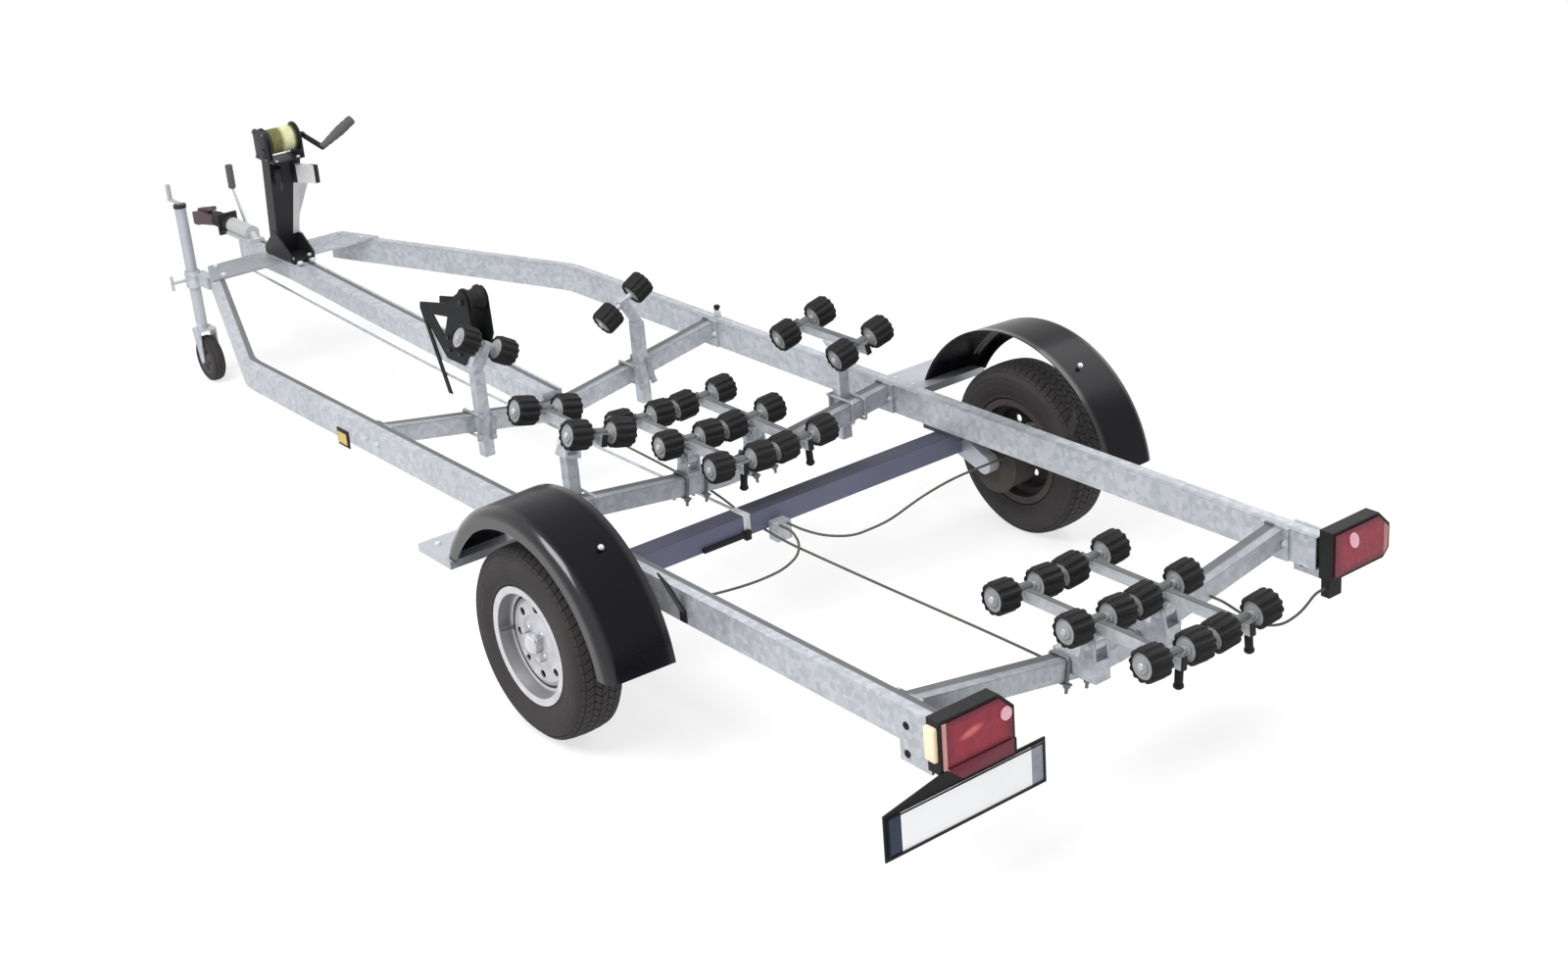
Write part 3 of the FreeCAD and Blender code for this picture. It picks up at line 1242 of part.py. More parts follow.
posts = [front_post(), side_post()]
node(together(*posts, *[mirror(post) for post in posts]), "roller_posts", moved=False)
front_pair = tilted(roller_pair(), "front_pair_side", FRONT_ROW, "front_pair_height", "front_pair_tilt")
node(front_pair, "front_rollers_right", moved=False)
node(mirror(front_pair), "front_rollers_left", moved=False)


# Keel roller

def keel_roller():
    """Waisted roller between its cheeks."""
    half = "(beam_size / 2 - keel_gap)"
    body = turned([("-" + half, "spindle_radius + run_gap"), ("-" + half, "keel_radius"), ("0", "keel_waist"),
                   (half, "keel_radius"), (half, "spindle_radius + run_gap")])
    drive(body, z="keel_height")
    body.setExpression("Placement.Base.y", bound("keel_place + " + AXLE))
    return body


def keel_bracket():
    """Two open cheeks on the drawbar's sides, and a leg that leans back past its left side."""
    def spot(ahead, up):
        return ("keel_place + (%s)" % ahead, "keel_height + (%s)" % up)
    outline = [spot("-keel_round", 0) + ("right", "keel_round"), spot(0, "keel_round"), spot(132, -33),
               spot(329, -70), spot(335, -95), spot(170, -260), spot(40, -260), spot(-13, -197),
               spot(-50, -134)]
    window = [spot(125, -85), spot(240, -100), spot(170, -175)]
    cheek = plate("YZ_Plane", outline, "keel_plate", "beam_size / 2", middle=False)
    pad(cheek, sketch(cheek, "YZ_Plane", window, "beam_size / 2 + keel_plate"), "keel_plate", kind="Pocket",
        middle=False)
    leg = plate("YZ_Plane", [spot(175, -409), spot(199, -409), spot(335, -95), spot(311, -95)], "keel_plate",
                "-beam_size / 2 - keel_plate", middle=False)
    spacer = block("-beam_size / 2", "keel_place + 40", "keel_height - 190", "beam_size", "40", "50")
    pin = rod("x", "-beam_size / 2 - keel_plate", "keel_place", "keel_height", "spindle_radius",
              "beam_size + 2 * keel_plate")
    return fuse(cheek, mirror(cheek), leg, spacer, pin)


node(keel_roller(), "keel_roller", moved=False)
node(keel_bracket(), "keel_bracket")


# Brake cables and lamp lead

YOKE_BACK = "axle_ahead - axle_size / 2 - yoke_deep"
SHIELD_FACE = "(%s - drum_start - drum_clear - shield_thick)" % WHEEL
left_cable = run_of_rod("LeftCable", [
    ("-rod_side - yoke_half", YOKE_BACK, "cable_height"), ("-rod_side - yoke_half", 0, "cable_height"),
    (-90, -80, 326), (-150, -146, 322), (-240, -186, 320), (-353, -195, 322), (-470, -185, 328),
    (-590, -155, 334), (-735, "-cable_behind", "cable_height"),
    ("-" + SHIELD_FACE, "-cable_behind", "cable_height")], "cable_radius")
right_cable = run_of_rod("RightCable", [
    ("-rod_side", YOKE_BACK, "cable_height"), ("-rod_side", -20, "cable_height"), (-6, -100, 326),
    (60, -155, 320), (200, -155, 320), (400, -95, 325), (560, "-cable_behind", "cable_height"),
    (SHIELD_FACE, "-cable_behind", "cable_height")], "cable_radius")
lamp_lead = run_of_rod("LampLead", [
    (-22, "front_cross_place - cross_size / 2", 345), (-22, 1200, 345), (-26, 900, 338), (-40, 430, 330),
    (-70, 200, 308), (-84, 60, 306), (-98, -47, 312), (-120, -432, 332), (-130, -1000, 350),
    (-130, "cross_size / 2 - rear_cross_place", 350)], "cable_radius")
lamp_cable = run_of_rod("LampCable", [
    (LAMP_BLOCK, -1455, 345), (667, -1455, 345), (610, -1452, 305), (540, -1448, 292), (480, -1436, 306),
    (430, -1402, 345), (385, -1365, 392), (385, "-rear_cross_place - cross_size / 2", 392)], "cable_radius")
node(together(left_cable, right_cable, lamp_lead, lamp_cable), "brake_cables")

doc.recompute()
for item in doc.Objects:
    if "Invalid" in item.State or "Error" in item.State:
        raise RuntimeError("failed: " + item.Label)
os.makedirs("parts", exist_ok=True)
for name, item in nodes:
    shape = item.Shape
    if shape.isNull() or not shape.isValid():
        raise RuntimeError("bad shape: " + name)
    shape.exportStep("parts/%s.step" % name)
    print(name, len(shape.Solids), round(shape.Volume / 1000), [round(v) for v in (
        shape.BoundBox.XMin, shape.BoundBox.XMax, shape.BoundBox.YMin, shape.BoundBox.YMax,
        shape.BoundBox.ZMin, shape.BoundBox.ZMax)])
print(len(nodes), "nodes")
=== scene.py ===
import json
import math

import bmesh
import bpy
from mathutils import Matrix, Quaternion, Vector

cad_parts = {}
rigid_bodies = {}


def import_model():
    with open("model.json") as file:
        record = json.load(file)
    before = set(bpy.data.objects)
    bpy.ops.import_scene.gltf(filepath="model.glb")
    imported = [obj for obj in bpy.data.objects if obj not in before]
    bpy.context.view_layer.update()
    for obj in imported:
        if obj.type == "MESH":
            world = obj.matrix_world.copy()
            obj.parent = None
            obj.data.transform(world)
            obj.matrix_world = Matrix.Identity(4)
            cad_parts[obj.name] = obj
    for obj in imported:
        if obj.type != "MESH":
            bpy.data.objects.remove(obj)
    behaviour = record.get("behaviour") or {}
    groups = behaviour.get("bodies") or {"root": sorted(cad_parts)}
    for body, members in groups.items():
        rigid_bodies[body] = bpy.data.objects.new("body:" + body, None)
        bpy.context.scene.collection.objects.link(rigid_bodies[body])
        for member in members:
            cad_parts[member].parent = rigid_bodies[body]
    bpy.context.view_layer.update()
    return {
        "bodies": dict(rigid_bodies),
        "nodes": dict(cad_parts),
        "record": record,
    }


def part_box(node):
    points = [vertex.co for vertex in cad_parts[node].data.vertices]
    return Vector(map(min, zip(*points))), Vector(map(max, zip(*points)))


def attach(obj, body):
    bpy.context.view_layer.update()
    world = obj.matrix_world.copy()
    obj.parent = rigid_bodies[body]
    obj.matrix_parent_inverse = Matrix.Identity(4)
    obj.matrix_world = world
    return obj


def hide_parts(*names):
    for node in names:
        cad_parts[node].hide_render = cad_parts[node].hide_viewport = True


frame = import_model()
print("frame loaded:", len(frame["nodes"]), "nodes")

joints = frame["record"]["behaviour"]["joints"]
jointOf = {joint["child"]: joint for joint in joints}
axlePlace, axleHigh = jointOf["wheel_left"]["pos_m"][1:]


# Materials: each reads the part's own coordinates, in metres

def setInput(plug, given):  # a link or a value; a colour is written without its alpha
    if isinstance(given, Socket):
        given.tree.links.new(given.socket, plug)
    else:
        plug.default_value = (*given, 1.0) if plug.type == "RGBA" else given


class Socket:  # a shader socket that takes part in sums
    def __init__(self, tree, socket=None):
        self.tree = tree
        self.socket = socket

    def node(self, kind, settings, inputs, output=0):
        item = self.tree.nodes.new("ShaderNode" + kind)
        for name, setting in settings.items():
            setattr(item, name, setting)
        for name, given in inputs.items():
            setInput(item.inputs[name], given)
        return Socket(self.tree, item.outputs[output])

    def maths(self, operation, other=0.0):
        return self.node("Math", {"operation": operation}, {0: self, 1: other})

    def __add__(self, other):
        return self.maths("ADD", other)

    def __sub__(self, other):
        return self.maths("SUBTRACT", other)

    def __rsub__(self, other):
        return self.node("Math", {"operation": "SUBTRACT"}, {0: other, 1: self})

    def __mul__(self, other):
        return self.maths("MULTIPLY", other)

    def __gt__(self, other):
        return self.maths("GREATER_THAN", other)

    def __lt__(self, other):
        return self.maths("LESS_THAN", other)

    __radd__, __rmul__ = __add__, __mul__  # the same either way round

    def blend(self, first, second):  # the colour first where this is 0, second where it is 1
        return self.node("Mix", {"data_type": "RGBA"}, {0: self, 6: first, 7: second}, 2)

    def ramp(self, low, high):  # from 0 at low to 1 at high
        return self.node("MapRange", {"interpolation_type": "SMOOTHSTEP"},
                         {"Value": self, "From Min": low, "From Max": high}, "Result")

    def axis(self, letter):  # one coordinate of a point
        return self.node("SeparateXYZ", {}, {"Vector": self}, letter)

    def noise(self, scale, detail=3.0):
        return self.node("TexNoise", {}, {"Vector": self, "Scale": scale, "Detail": detail, "Roughness": 0.55}, "Fac")


def newMaterial(name):
    material = bpy.data.materials.new(name)
    material.use_nodes = True
    return material, Socket(material.node_tree).node("TexCoord", {}, {}, "Object")


plugs = {"base": "Base Color", "rough": "Roughness", "metal": "Metallic", "coat": "Coat Weight",
         "coatRough": "Coat Roughness", "shine": "Specular IOR Level", "normal": "Normal"}


def setShader(material, point, relief=None, **given):  # relief is the bump's height or scale, strength and distance
    if relief:
        height, strength, distance = relief
        height = height if isinstance(height, Socket) else point.noise(height, 2.0)
        inputs = {"Height": height, "Strength": strength, "Distance": distance}
        given["normal"] = point.node("Bump", {}, inputs, "Normal")
    for name, value in given.items():
        setInput(material.node_tree.nodes["Principled BSDF"].inputs[plugs[name]], value)
    return material


zinc = {"light": (0.57, 0.59, 0.62), "dark": (0.29, 0.31, 0.345), "rough": 0.38, "metal": 0.45,
        "spangle": 55.0, "cloud": 3.5, "relief": (160.0, 0.12, 0.0006),
        "shaded": ((0.075, 0.078, 0.084), (0.17, 0.175, 0.185))}


def zincCoat(name, light=zinc["light"], dark=zinc["dark"], shadeAt=None):
    material, point = newMaterial(name)
    cells = point.node("TexVoronoi", {}, {"Vector": point, "Scale": zinc["spangle"]}, "Color")
    grain = cells.node("SeparateColor", {}, {"Color": cells}, "Red")
    cloud = point.noise(zinc["cloud"])
    face = (grain * 0.45 + cloud * 0.55).blend(dark, light)
    if shadeAt:
        # painted shade: a darker zinc colour wherever shadeAt gives 1
        face = shadeAt(point).blend(face, cloud.blend(*zinc["shaded"]))
    return setShader(material, point, zinc["relief"], base=face, rough=zinc["rough"] + cloud * 0.12 + grain * 0.08,
                     metal=zinc["metal"])


paint = {"cloud": 6.0, "grain": 40.0, "uneven": 0.12, "relief": (220.0, 0.08, 0.0004)}


def paintedSteel(name, base, dark, rough=0.38, metal=0.0, coat=0.1, shine=0.3):
    material, point = newMaterial(name)
    return setShader(material, point, paint["relief"], base=point.noise(paint["cloud"]).blend(dark, base),
                     rough=rough + point.noise(paint["grain"]) * paint["uneven"], metal=metal, coat=coat, shine=shine)


skin = {"dust": 9.0, "grain": 70.0, "uneven": 0.15, "fine": 420.0, "deep": 0.0005}


def rubber(name, base, dark, rough=0.7, bump=0.25, shine=0.3):
    material, point = newMaterial(name)
    return setShader(material, point, (skin["fine"], bump, skin["deep"]),
                     base=point.noise(skin["dust"]).blend(dark, base),
                     rough=rough + point.noise(skin["grain"]) * skin["uneven"], shine=shine)


guard = {"edge": (0.872, 0.852), "roll": (1.022, 1.046), "coat": 0.08, "edgeCoat": 0.9, "rough": 0.22,
         "relief": (220.0, 0.06, 0.0004)}


def guardGloss():  # polished by hands and water along its two long edges
    material, point = newMaterial("guardGloss")
    apart = point.axis("X").maths("ABSOLUTE")
    edge = apart.ramp(*guard["roll"]) + apart.ramp(*guard["edge"])
    base = point.noise(paint["cloud"]).blend((0.002, 0.0015, 0.003), (0.005, 0.004, 0.007))
    return setShader(material, point, guard["relief"], base=base, coatRough=0.16, shine=0.1,
                     rough=guard["rough"] + point.noise(paint["grain"]) * paint["uneven"],
                     coat=guard["coat"] + edge * (guard["edgeCoat"] - guard["coat"]))


strap = {"edge": 0.052, "rib": 0.0042, "highlightFrom": (-0.014, 0.010), "highlightTo": (0.038, 0.054), "cloud": 34.0,
         "worn": ((0.05, 0.05, 0.01), (0.19, 0.185, 0.06)),
         "bright": ((0.34, 0.34, 0.16), (0.74, 0.74, 0.48))}


def strapWeave():  # worn, darker at its edges, with a painted highlight band right of its middle
    material, point = newMaterial("strapWeave")
    apart = point.axis("X")
    shade = point.noise(strap["cloud"])
    # the painted highlight band
    bright = apart.ramp(*strap["highlightFrom"]) * (1 - apart.ramp(*strap["highlightTo"]))
    body = bright.blend(shade.blend(*strap["worn"]), shade.blend(*strap["bright"]))
    edge = (apart.maths("ABSOLUTE") > strap["edge"]) * 0.85
    ribs = (apart * (2 * math.pi / strap["rib"])).maths("SINE")
    return setShader(material, point, (ribs + shade * 0.6, 0.45, 0.0006), rough=0.75 + shade * 0.15,
                     base=edge.blend(body, (0.02, 0.02, 0.012)))


finishes = {
    "galvanized_steel": zincCoat("zincCoat"),
    "black_steel": paintedSteel("blackPaint", (0.016, 0.016, 0.019), (0.007, 0.007, 0.01), 0.42, coat=0.05),
    "black_plastic": guardGloss(),
    "dull_plastic": rubber("dullPlastic", (0.012, 0.011, 0.013), (0.006, 0.006, 0.007), 0.45, 0.1, 0.2),
    "roller_rubber": rubber("rollerRubber", (0.013, 0.013, 0.014), (0.006, 0.006, 0.007), 0.55, shine=0.2),
    "tyre": rubber("tyreRubber", (0.040, 0.037, 0.036), (0.019, 0.017, 0.017)),
    "amber_lens": paintedSteel("amberLens", (0.56, 0.38, 0.06), (0.40, 0.26, 0.03), 0.16, coat=0.3),
    "webbing": strapWeave(),
}
brightZinc = zincCoat("brightZinc", (0.66, 0.67, 0.69), (0.50, 0.52, 0.55))
midZinc = zincCoat("midZinc", (0.42, 0.43, 0.455), (0.24, 0.25, 0.27))
darkZinc = zincCoat("darkZinc", (0.20, 0.205, 0.215), (0.11, 0.115, 0.125))
gripRubber = rubber("gripRubber", (0.10, 0.10, 0.105), (0.055, 0.055, 0.06))
print("finishes set:", len(finishes))


# Shapes that several pieces share. A shape is made about the origin along Z and then set at its place.

def lathe(profile, segments):
    shape = bmesh.new()
    verts = [shape.verts.new((radius, 0, along)) for along, radius in profile]
    edges = [shape.edges.new(pair) for pair in zip(verts, verts[1:])]
    if profile[0][1]:  # a ring; a profile that ends on the axis is solid
        edges.append(shape.edges.new((verts[-1], verts[0])))
    bmesh.ops.spin(shape, geom=verts + edges, cent=(0, 0, 0), axis=(0, 0, 1), angle=2 * math.pi, steps=segments,
                   use_merge=True)
    bmesh.ops.remove_doubles(shape, verts=shape.verts, dist=1e-6)
    bmesh.ops.recalc_face_normals(shape, faces=shape.faces)
    return shape


def partsOf(made, kind):
    return [part for part in made if isinstance(part, kind)]


def mirrored(side):  # a profile that is the same on both sides of the middle
    return [(-along, radius) for along, radius in side] + side[::-1]


def at(across, ahead, high):  # ahead is counted from the wheel axle
    return Vector((across, axlePlace + ahead, high))


def alongTo(direction, place):
    turn = Vector((0, 0, 1)).rotation_difference(Vector(direction)).to_matrix().to_4x4()
    return Matrix.Translation(place) @ turn


def addShape(target, source, *matrices):  # adds a shape at one or more places, and frees it
    for matrix in matrices or [Matrix()]:
        mesh = bpy.data.meshes.new("copy")
        source.to_mesh(mesh)
        mesh.transform(matrix)
        target.from_mesh(mesh)
        bpy.data.meshes.remove(mesh)
    source.free()
    return target


def finishPiece(shape, name, slotName, material=None, body="chassis", replaced=(), sharp=35.0):
    mesh = bpy.data.meshes.new(name)
    shape.to_mesh(mesh)
    shape.free()
    mesh.materials.append(material or finishes[slotName])
    mesh.shade_smooth()
    mesh.set_sharp_from_angle(angle=math.radians(sharp))
    item = bpy.data.objects.new(name, mesh)
    bpy.context.scene.collection.objects.link(item)
    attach(item, body)
    if replaced:
        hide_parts(*replaced)


def roundBlock(low, high, edge, segments=2):
    shape = bmesh.new()
    bmesh.ops.create_cube(shape, size=1.0)
    low, high = Vector(low), Vector(high)
    bmesh.ops.scale(shape, vec=high - low, verts=shape.verts)
    bmesh.ops.translate(shape, vec=(low + high) / 2, verts=shape.verts)
    bmesh.ops.bevel(shape, geom=shape.edges[:], offset=edge, segments=segments, profile=0.5, affect="EDGES",
                    material=-1)
    return shape


def blockAt(corners, edge, segments=2):
    return roundBlock(at(*corners[0]), at(*corners[1]), edge, segments)


def addCone(target, matrix, segments, radii, base, depth):  # base is how far along its axis it starts
    bmesh.ops.create_cone(target, cap_ends=True, cap_tris=False, segments=segments, radius1=radii[0], radius2=radii[1],
                          depth=depth, matrix=matrix @ Matrix.Translation((0, 0, base + depth / 2)))


bolt = {"washer": 1.12, "washerHigh": 0.16, "hex": 0.95, "head": 0.62, "flat": 0.8, "chamfer": 0.88, "tip": 0.44}


def addBolt(target, place, direction, size, stub=0.0):  # size is the thread's diameter, stub the thread that shows
    matrix = alongTo(direction, place)
    washer, across = bolt["washer"] * size, bolt["hex"] * size
    low, high = bolt["washerHigh"] * size, bolt["head"] * size
    flat = high * bolt["flat"]
    addCone(target, matrix, 20, (washer, washer), 0, low)
    addCone(target, matrix, 6, (across, across), low, flat)
    addCone(target, matrix, 6, (across, across * bolt["chamfer"]), low + flat, high - flat)
    if stub:
        addCone(target, matrix, 14, (size / 2, size * bolt["tip"]), low + high, stub)


# Rollers

roller = {"radius": 0.048, "groove": 0.0052, "length": 0.075, "ribs": 12, "fromMiddle": 0.079, "round": 0.0125,
          "shoulder": ((0.0065, 0.975), (0.0022, 0.945), (0.0, 0.93)), "rim": 0.0365, "recess": 0.006, "hub": 0.019,
          "hubOut": 0.005, "bore": 0.0104}


def extrudeRing(shape, edges, along, scale=1.0, radius=None):
    made = bmesh.ops.extrude_edge_only(shape, edges=edges)["geom"]
    verts = partsOf(made, bmesh.types.BMVert)
    for vert in verts:
        vert.co.z = along
        if radius is not None:
            vert.co.xy = vert.co.xy.normalized() * radius
    if radius is None:
        bmesh.ops.scale(shape, vec=(scale, scale, 1), verts=verts)
    return partsOf(made, bmesh.types.BMEdge)


def rollerTread():
    shape = bmesh.new()
    half = roller["length"] / 2
    circle = bmesh.ops.create_circle(shape, segments=4 * roller["ribs"], radius=roller["radius"])["verts"]
    for number, vert in enumerate(circle):
        vert.co.z = roller["round"] - half
        if number % 4 > 1:
            vert.co.xy *= (roller["radius"] - roller["groove"]) / roller["radius"]
    base = shape.edges[:]
    ends = [(extrudeRing(shape, base, half - roller["round"]), 1), (base, -1)]
    loops = []
    for ring, side in ends:
        for inset, scale in roller["shoulder"]:
            ring = extrudeRing(shape, ring, side * (half - inset), scale)
        ring = extrudeRing(shape, ring, side * half, radius=roller["rim"])
        loops += extrudeRing(shape, ring, side * (half - roller["recess"] - 0.002), radius=roller["rim"] - 0.001)
    bmesh.ops.bridge_loops(shape, edges=loops)
    bmesh.ops.recalc_face_normals(shape, faces=shape.faces)
    return shape


def rollerCore():
    floor, rim, hub = roller["length"] / 2 - roller["recess"], roller["rim"], roller["hub"]
    lip = floor + roller["hubOut"]
    return lathe(mirrored([(lip, roller["bore"]), (lip, hub), (floor + 0.0015, hub + 0.001),
                           (floor + 0.0015, hub + 0.004), (floor, hub + 0.006), (floor, rim - 0.0006)]), 32)


def makeRollers():
    coreFinish = rubber("rollerCore", (0.38, 0.385, 0.39), (0.17, 0.173, 0.18), 0.5, 0.15)
    for name in frame["nodes"]:
        if "_rollers" in name:
            axis = Vector(jointOf[name]["axis"])
            places = [alongTo(axis, Vector(jointOf[name]["pos_m"]) + axis * side * roller["fromMiddle"])
                      for side in (-1, 1)]
            finishPiece(addShape(bmesh.new(), rollerTread(), *places), name + "Rubber", "roller_rubber", body=name,
                        replaced=[name])
            finishPiece(addShape(bmesh.new(), rollerCore(), *places), name + "Core", "galvanized_steel", coreFinish,
                        name)


makeRollers()
print("rollers made")


# Wheels

tyre = {"steps": 66, "bands": (0.058, 0.0345, 0.0115), "bandRadius": (0.2846, 0.2884, 0.2897), "block": 0.0062,
        "gap": 0.0021, "twist": (0.0, 2.2, -1.4), "shoulder": (0.0665, 0.2765), "lug": 0.0032, "inside": 0.27,
        "wall": [(0.0620, 0.1682), (0.0636, 0.1832), (0.0668, 0.1862), (0.0705, 0.1880), (0.0722, 0.1925),
                 (0.0716, 0.1968), (0.0748, 0.2052), (0.0790, 0.2190), (0.0812, 0.2300), (0.0806, 0.2335),
                 (0.0818, 0.2370), (0.0812, 0.2480), (0.0795, 0.2580), (0.0805, 0.2605), (0.0790, 0.2635),
                 (0.0752, 0.2700)]}


def tyreBody():
    bands = tyre["bands"]
    shape = lathe(mirrored(tyre["wall"] + [tyre["shoulder"], *zip(bands, tyre["bandRadius"])]), tyre["steps"])
    for along, twist in zip(bands, tyre["twist"]):
        for side in (-1, 1):
            ring = [vert for vert in shape.verts if abs(vert.co.z - side * along) < 1e-4]
            bmesh.ops.rotate(shape, verts=ring, cent=(0, 0, 0),
                             matrix=Matrix.Rotation(math.radians(side * twist), 3, "Z"))

    def cutTread(inner, outer, depth):  # the faces with four corners between two distances from the middle
        faces = [face for face in shape.faces if inner < abs(face.calc_center_median().z) < outer
                 and face.calc_center_median().xy.length > tyre["inside"] and len(face.verts) == 4]
        bmesh.ops.inset_individual(shape, faces=faces, thickness=tyre["gap"], depth=depth)
    cutTread(-1, bands[0], tyre["block"])
    cutTread(bands[0] + 0.002, tyre["shoulder"][0], tyre["lug"])
    bmesh.ops.recalc_face_normals(shape, faces=shape.faces)
    return shape


rim = {"face": 0.9895, "wall": (0.1490, 0.1530), "wallEnd": (0.1600, 0.1625), "cloud": 17.0, "rough": 0.3,
       "dustRough": 0.35, "metal": 0.45, "relief": (220.0, 0.1, 0.0004)}


def rimPaint():  # silver outside, with a ring of painted shade at its wall, and dust with painted shade on its inner side
    material, point = newMaterial("rimPaint")
    ahead, high = point.axis("Y") - axlePlace, point.axis("Z") - axleHigh
    radius = (ahead * ahead + high * high).maths("SQRT")
    wall = radius.ramp(*rim["wall"]) * (1 - radius.ramp(*rim["wallEnd"]))
    cloud = point.noise(rim["cloud"])
    silver = cloud.blend((0.36, 0.36, 0.385), (0.68, 0.68, 0.70))
    # painted shade in the groove at the rim's wall
    silver = (wall * 0.8).blend(silver, (0.17, 0.168, 0.178))
    inner = point.axis("X").maths("ABSOLUTE") < rim["face"]
    # the inner side: dark dust together with painted shade
    dustAndShade = cloud.blend((0.020, 0.017, 0.016), (0.055, 0.047, 0.044))
    return setShader(material, point, rim["relief"], base=inner.blend(silver, dustAndShade),
                     rough=rim["rough"] + inner * rim["dustRough"] + cloud * 0.12,
                     metal=rim["metal"] - inner * rim["metal"])


wheelNut = {"count": 4, "ring": 0.049, "radii": (0.011, 0.01056), "base": 0.005, "high": 0.016, "face": 0.038,
            "collar": (0.0135, 0.0105), "collarBase": -0.001, "collarHigh": 0.006}
valve = {"out": 0.137, "face": 0.030, "lean": -0.25,
         "profile": [(0.0, 0.0), (0.0, 0.0075), (0.004, 0.0072), (0.006, 0.0048), (0.030, 0.0042), (0.031, 0.0046),
                     (0.040, 0.0046), (0.042, 0.0030), (0.042, 0.0)]}


def makeWheels():
    for side, sign in (("left", -1), ("right", 1)):
        body, label = "wheel_" + side, side.title()
        centre = Vector(jointOf[body]["pos_m"])
        centre.x = sum(corner[0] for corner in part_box("tyre_" + side)) / 2
        turned = alongTo((sign, 0, 0), centre)
        finishPiece(addShape(bmesh.new(), tyreBody(), turned), "tyreTread" + label, "tyre", body=body,
                    replaced=["tyre_" + side], sharp=28.0)
        nuts = bmesh.new()
        for number in range(wheelNut["count"]):
            angle = 2 * math.pi * (number + 0.5) / wheelNut["count"]
            place = (wheelNut["ring"] * math.cos(angle), wheelNut["ring"] * math.sin(angle), wheelNut["face"])
            matrix = turned @ Matrix.Translation(place)
            addCone(nuts, matrix, 18, wheelNut["collar"], wheelNut["collarBase"], wheelNut["collarHigh"])
            addCone(nuts, matrix, 6, wheelNut["radii"], wheelNut["base"], wheelNut["high"])
        finishPiece(nuts, "wheelNuts" + label, "galvanized_steel", body=body)
        matrix = turned @ Matrix.Translation((0, valve["out"], valve["face"])) @ Matrix.Rotation(valve["lean"], 4, "X")
        finishPiece(addShape(bmesh.new(), lathe(valve["profile"], 14), matrix), "tyreValve" + label, "dull_plastic",
                    gripRubber, body)


finishes["rim_silver"] = rimPaint()
makeWheels()
print("wheels made")


# Tail lamps: the lens nodes keep their solids, with bands of colour, and get their round and sloping lenses

lamp = {"face": -1.4905, "middle": (-0.641, 0.821), "high": 0.4525, "half": (0.115, 0.0645),
        "disc": (-0.548, 0.468), "discRadius": 0.020, "discThin": 0.9, "eye": (0.785, 0.480), "eyeRadius": 0.028,
        "eyeThin": 0.62, "turn": 28.0, "paintedGlint": (-0.664, 0.463), "glintSlope": 0.2, "glintSize": (0.052, 0.016),
        "marker": ((-0.778, -1.4800, 0.412), (-0.757, -1.440, 0.508)), "paleFrom": -0.7445, "palerFrom": 0.917,
        "lowLens": ((-0.748, -1.4950, 0.3480), (-0.5275, -1.4895, 0.3905)), "lowSlant": 0.045, "ribWide": 0.0052,
        "ribHigh": 0.0078, "border": (0.62, 1.0), "glintEdge": (0.2, 1.0),
        "dome": [(-0.02, 0.0), (-0.02, 1.0), (0.12, 0.98), (0.2, 0.86), (0.27, 0.6), (0.3, 0.3), (0.31, 0.0)]}


def lampLens():
    material, point = newMaterial("lampLens")
    across, high = point.axis("X"), point.axis("Z")
    fromLeft, fromRight = [(across - middle).maths("ABSOLUTE") for middle in lamp["middle"]]
    sideways = fromLeft.maths("MINIMUM", fromRight) * (1 / lamp["half"][0])
    upwards = (high - lamp["high"]).maths("ABSOLUTE") * (1 / lamp["half"][1])
    border = sideways.maths("MAXIMUM", upwards).ramp(*lamp["border"])
    red = point.noise(42.0).blend((0.17, 0.010, 0.022), (0.40, 0.022, 0.055))
    red = (border * 0.75).blend(red, (0.085, 0.008, 0.022))
    # a painted highlight: a pale ellipse on the left lens
    away, up = across - lamp["paintedGlint"][0], high - lamp["paintedGlint"][1]
    along = (away + up * lamp["glintSlope"]) * (1 / lamp["glintSize"][0])
    aside = (up - away * lamp["glintSlope"]) * (1 / lamp["glintSize"][1])
    paintedGlint = 1 - (along * along + aside * aside).maths("SQRT").ramp(*lamp["glintEdge"])
    red = (paintedGlint * 0.8).blend(red, (0.74, 0.17, 0.16))
    pale = (across < lamp["paleFrom"]) + (across > lamp["palerFrom"]) * 0.6
    ribs = (across * (2 * math.pi / lamp["ribWide"])).maths("SINE")
    rows = (high * (2 * math.pi / lamp["ribHigh"])).maths("SINE")
    return setShader(material, point, (ribs * 0.6 + rows * 0.4, 0.5, 0.0008), rough=0.2, coat=0.08, shine=0.2,
                     base=pale.blend(red, (0.60, 0.30, 0.27)))


def clearLens(name, tint, glow):
    material, point = newMaterial(name)
    cells = point.noise(260.0, 2.0)
    return setShader(material, point, (cells, 0.5, 0.0007), base=cells.blend(tint, glow), rough=0.14, coat=0.15,
                     shine=0.3)


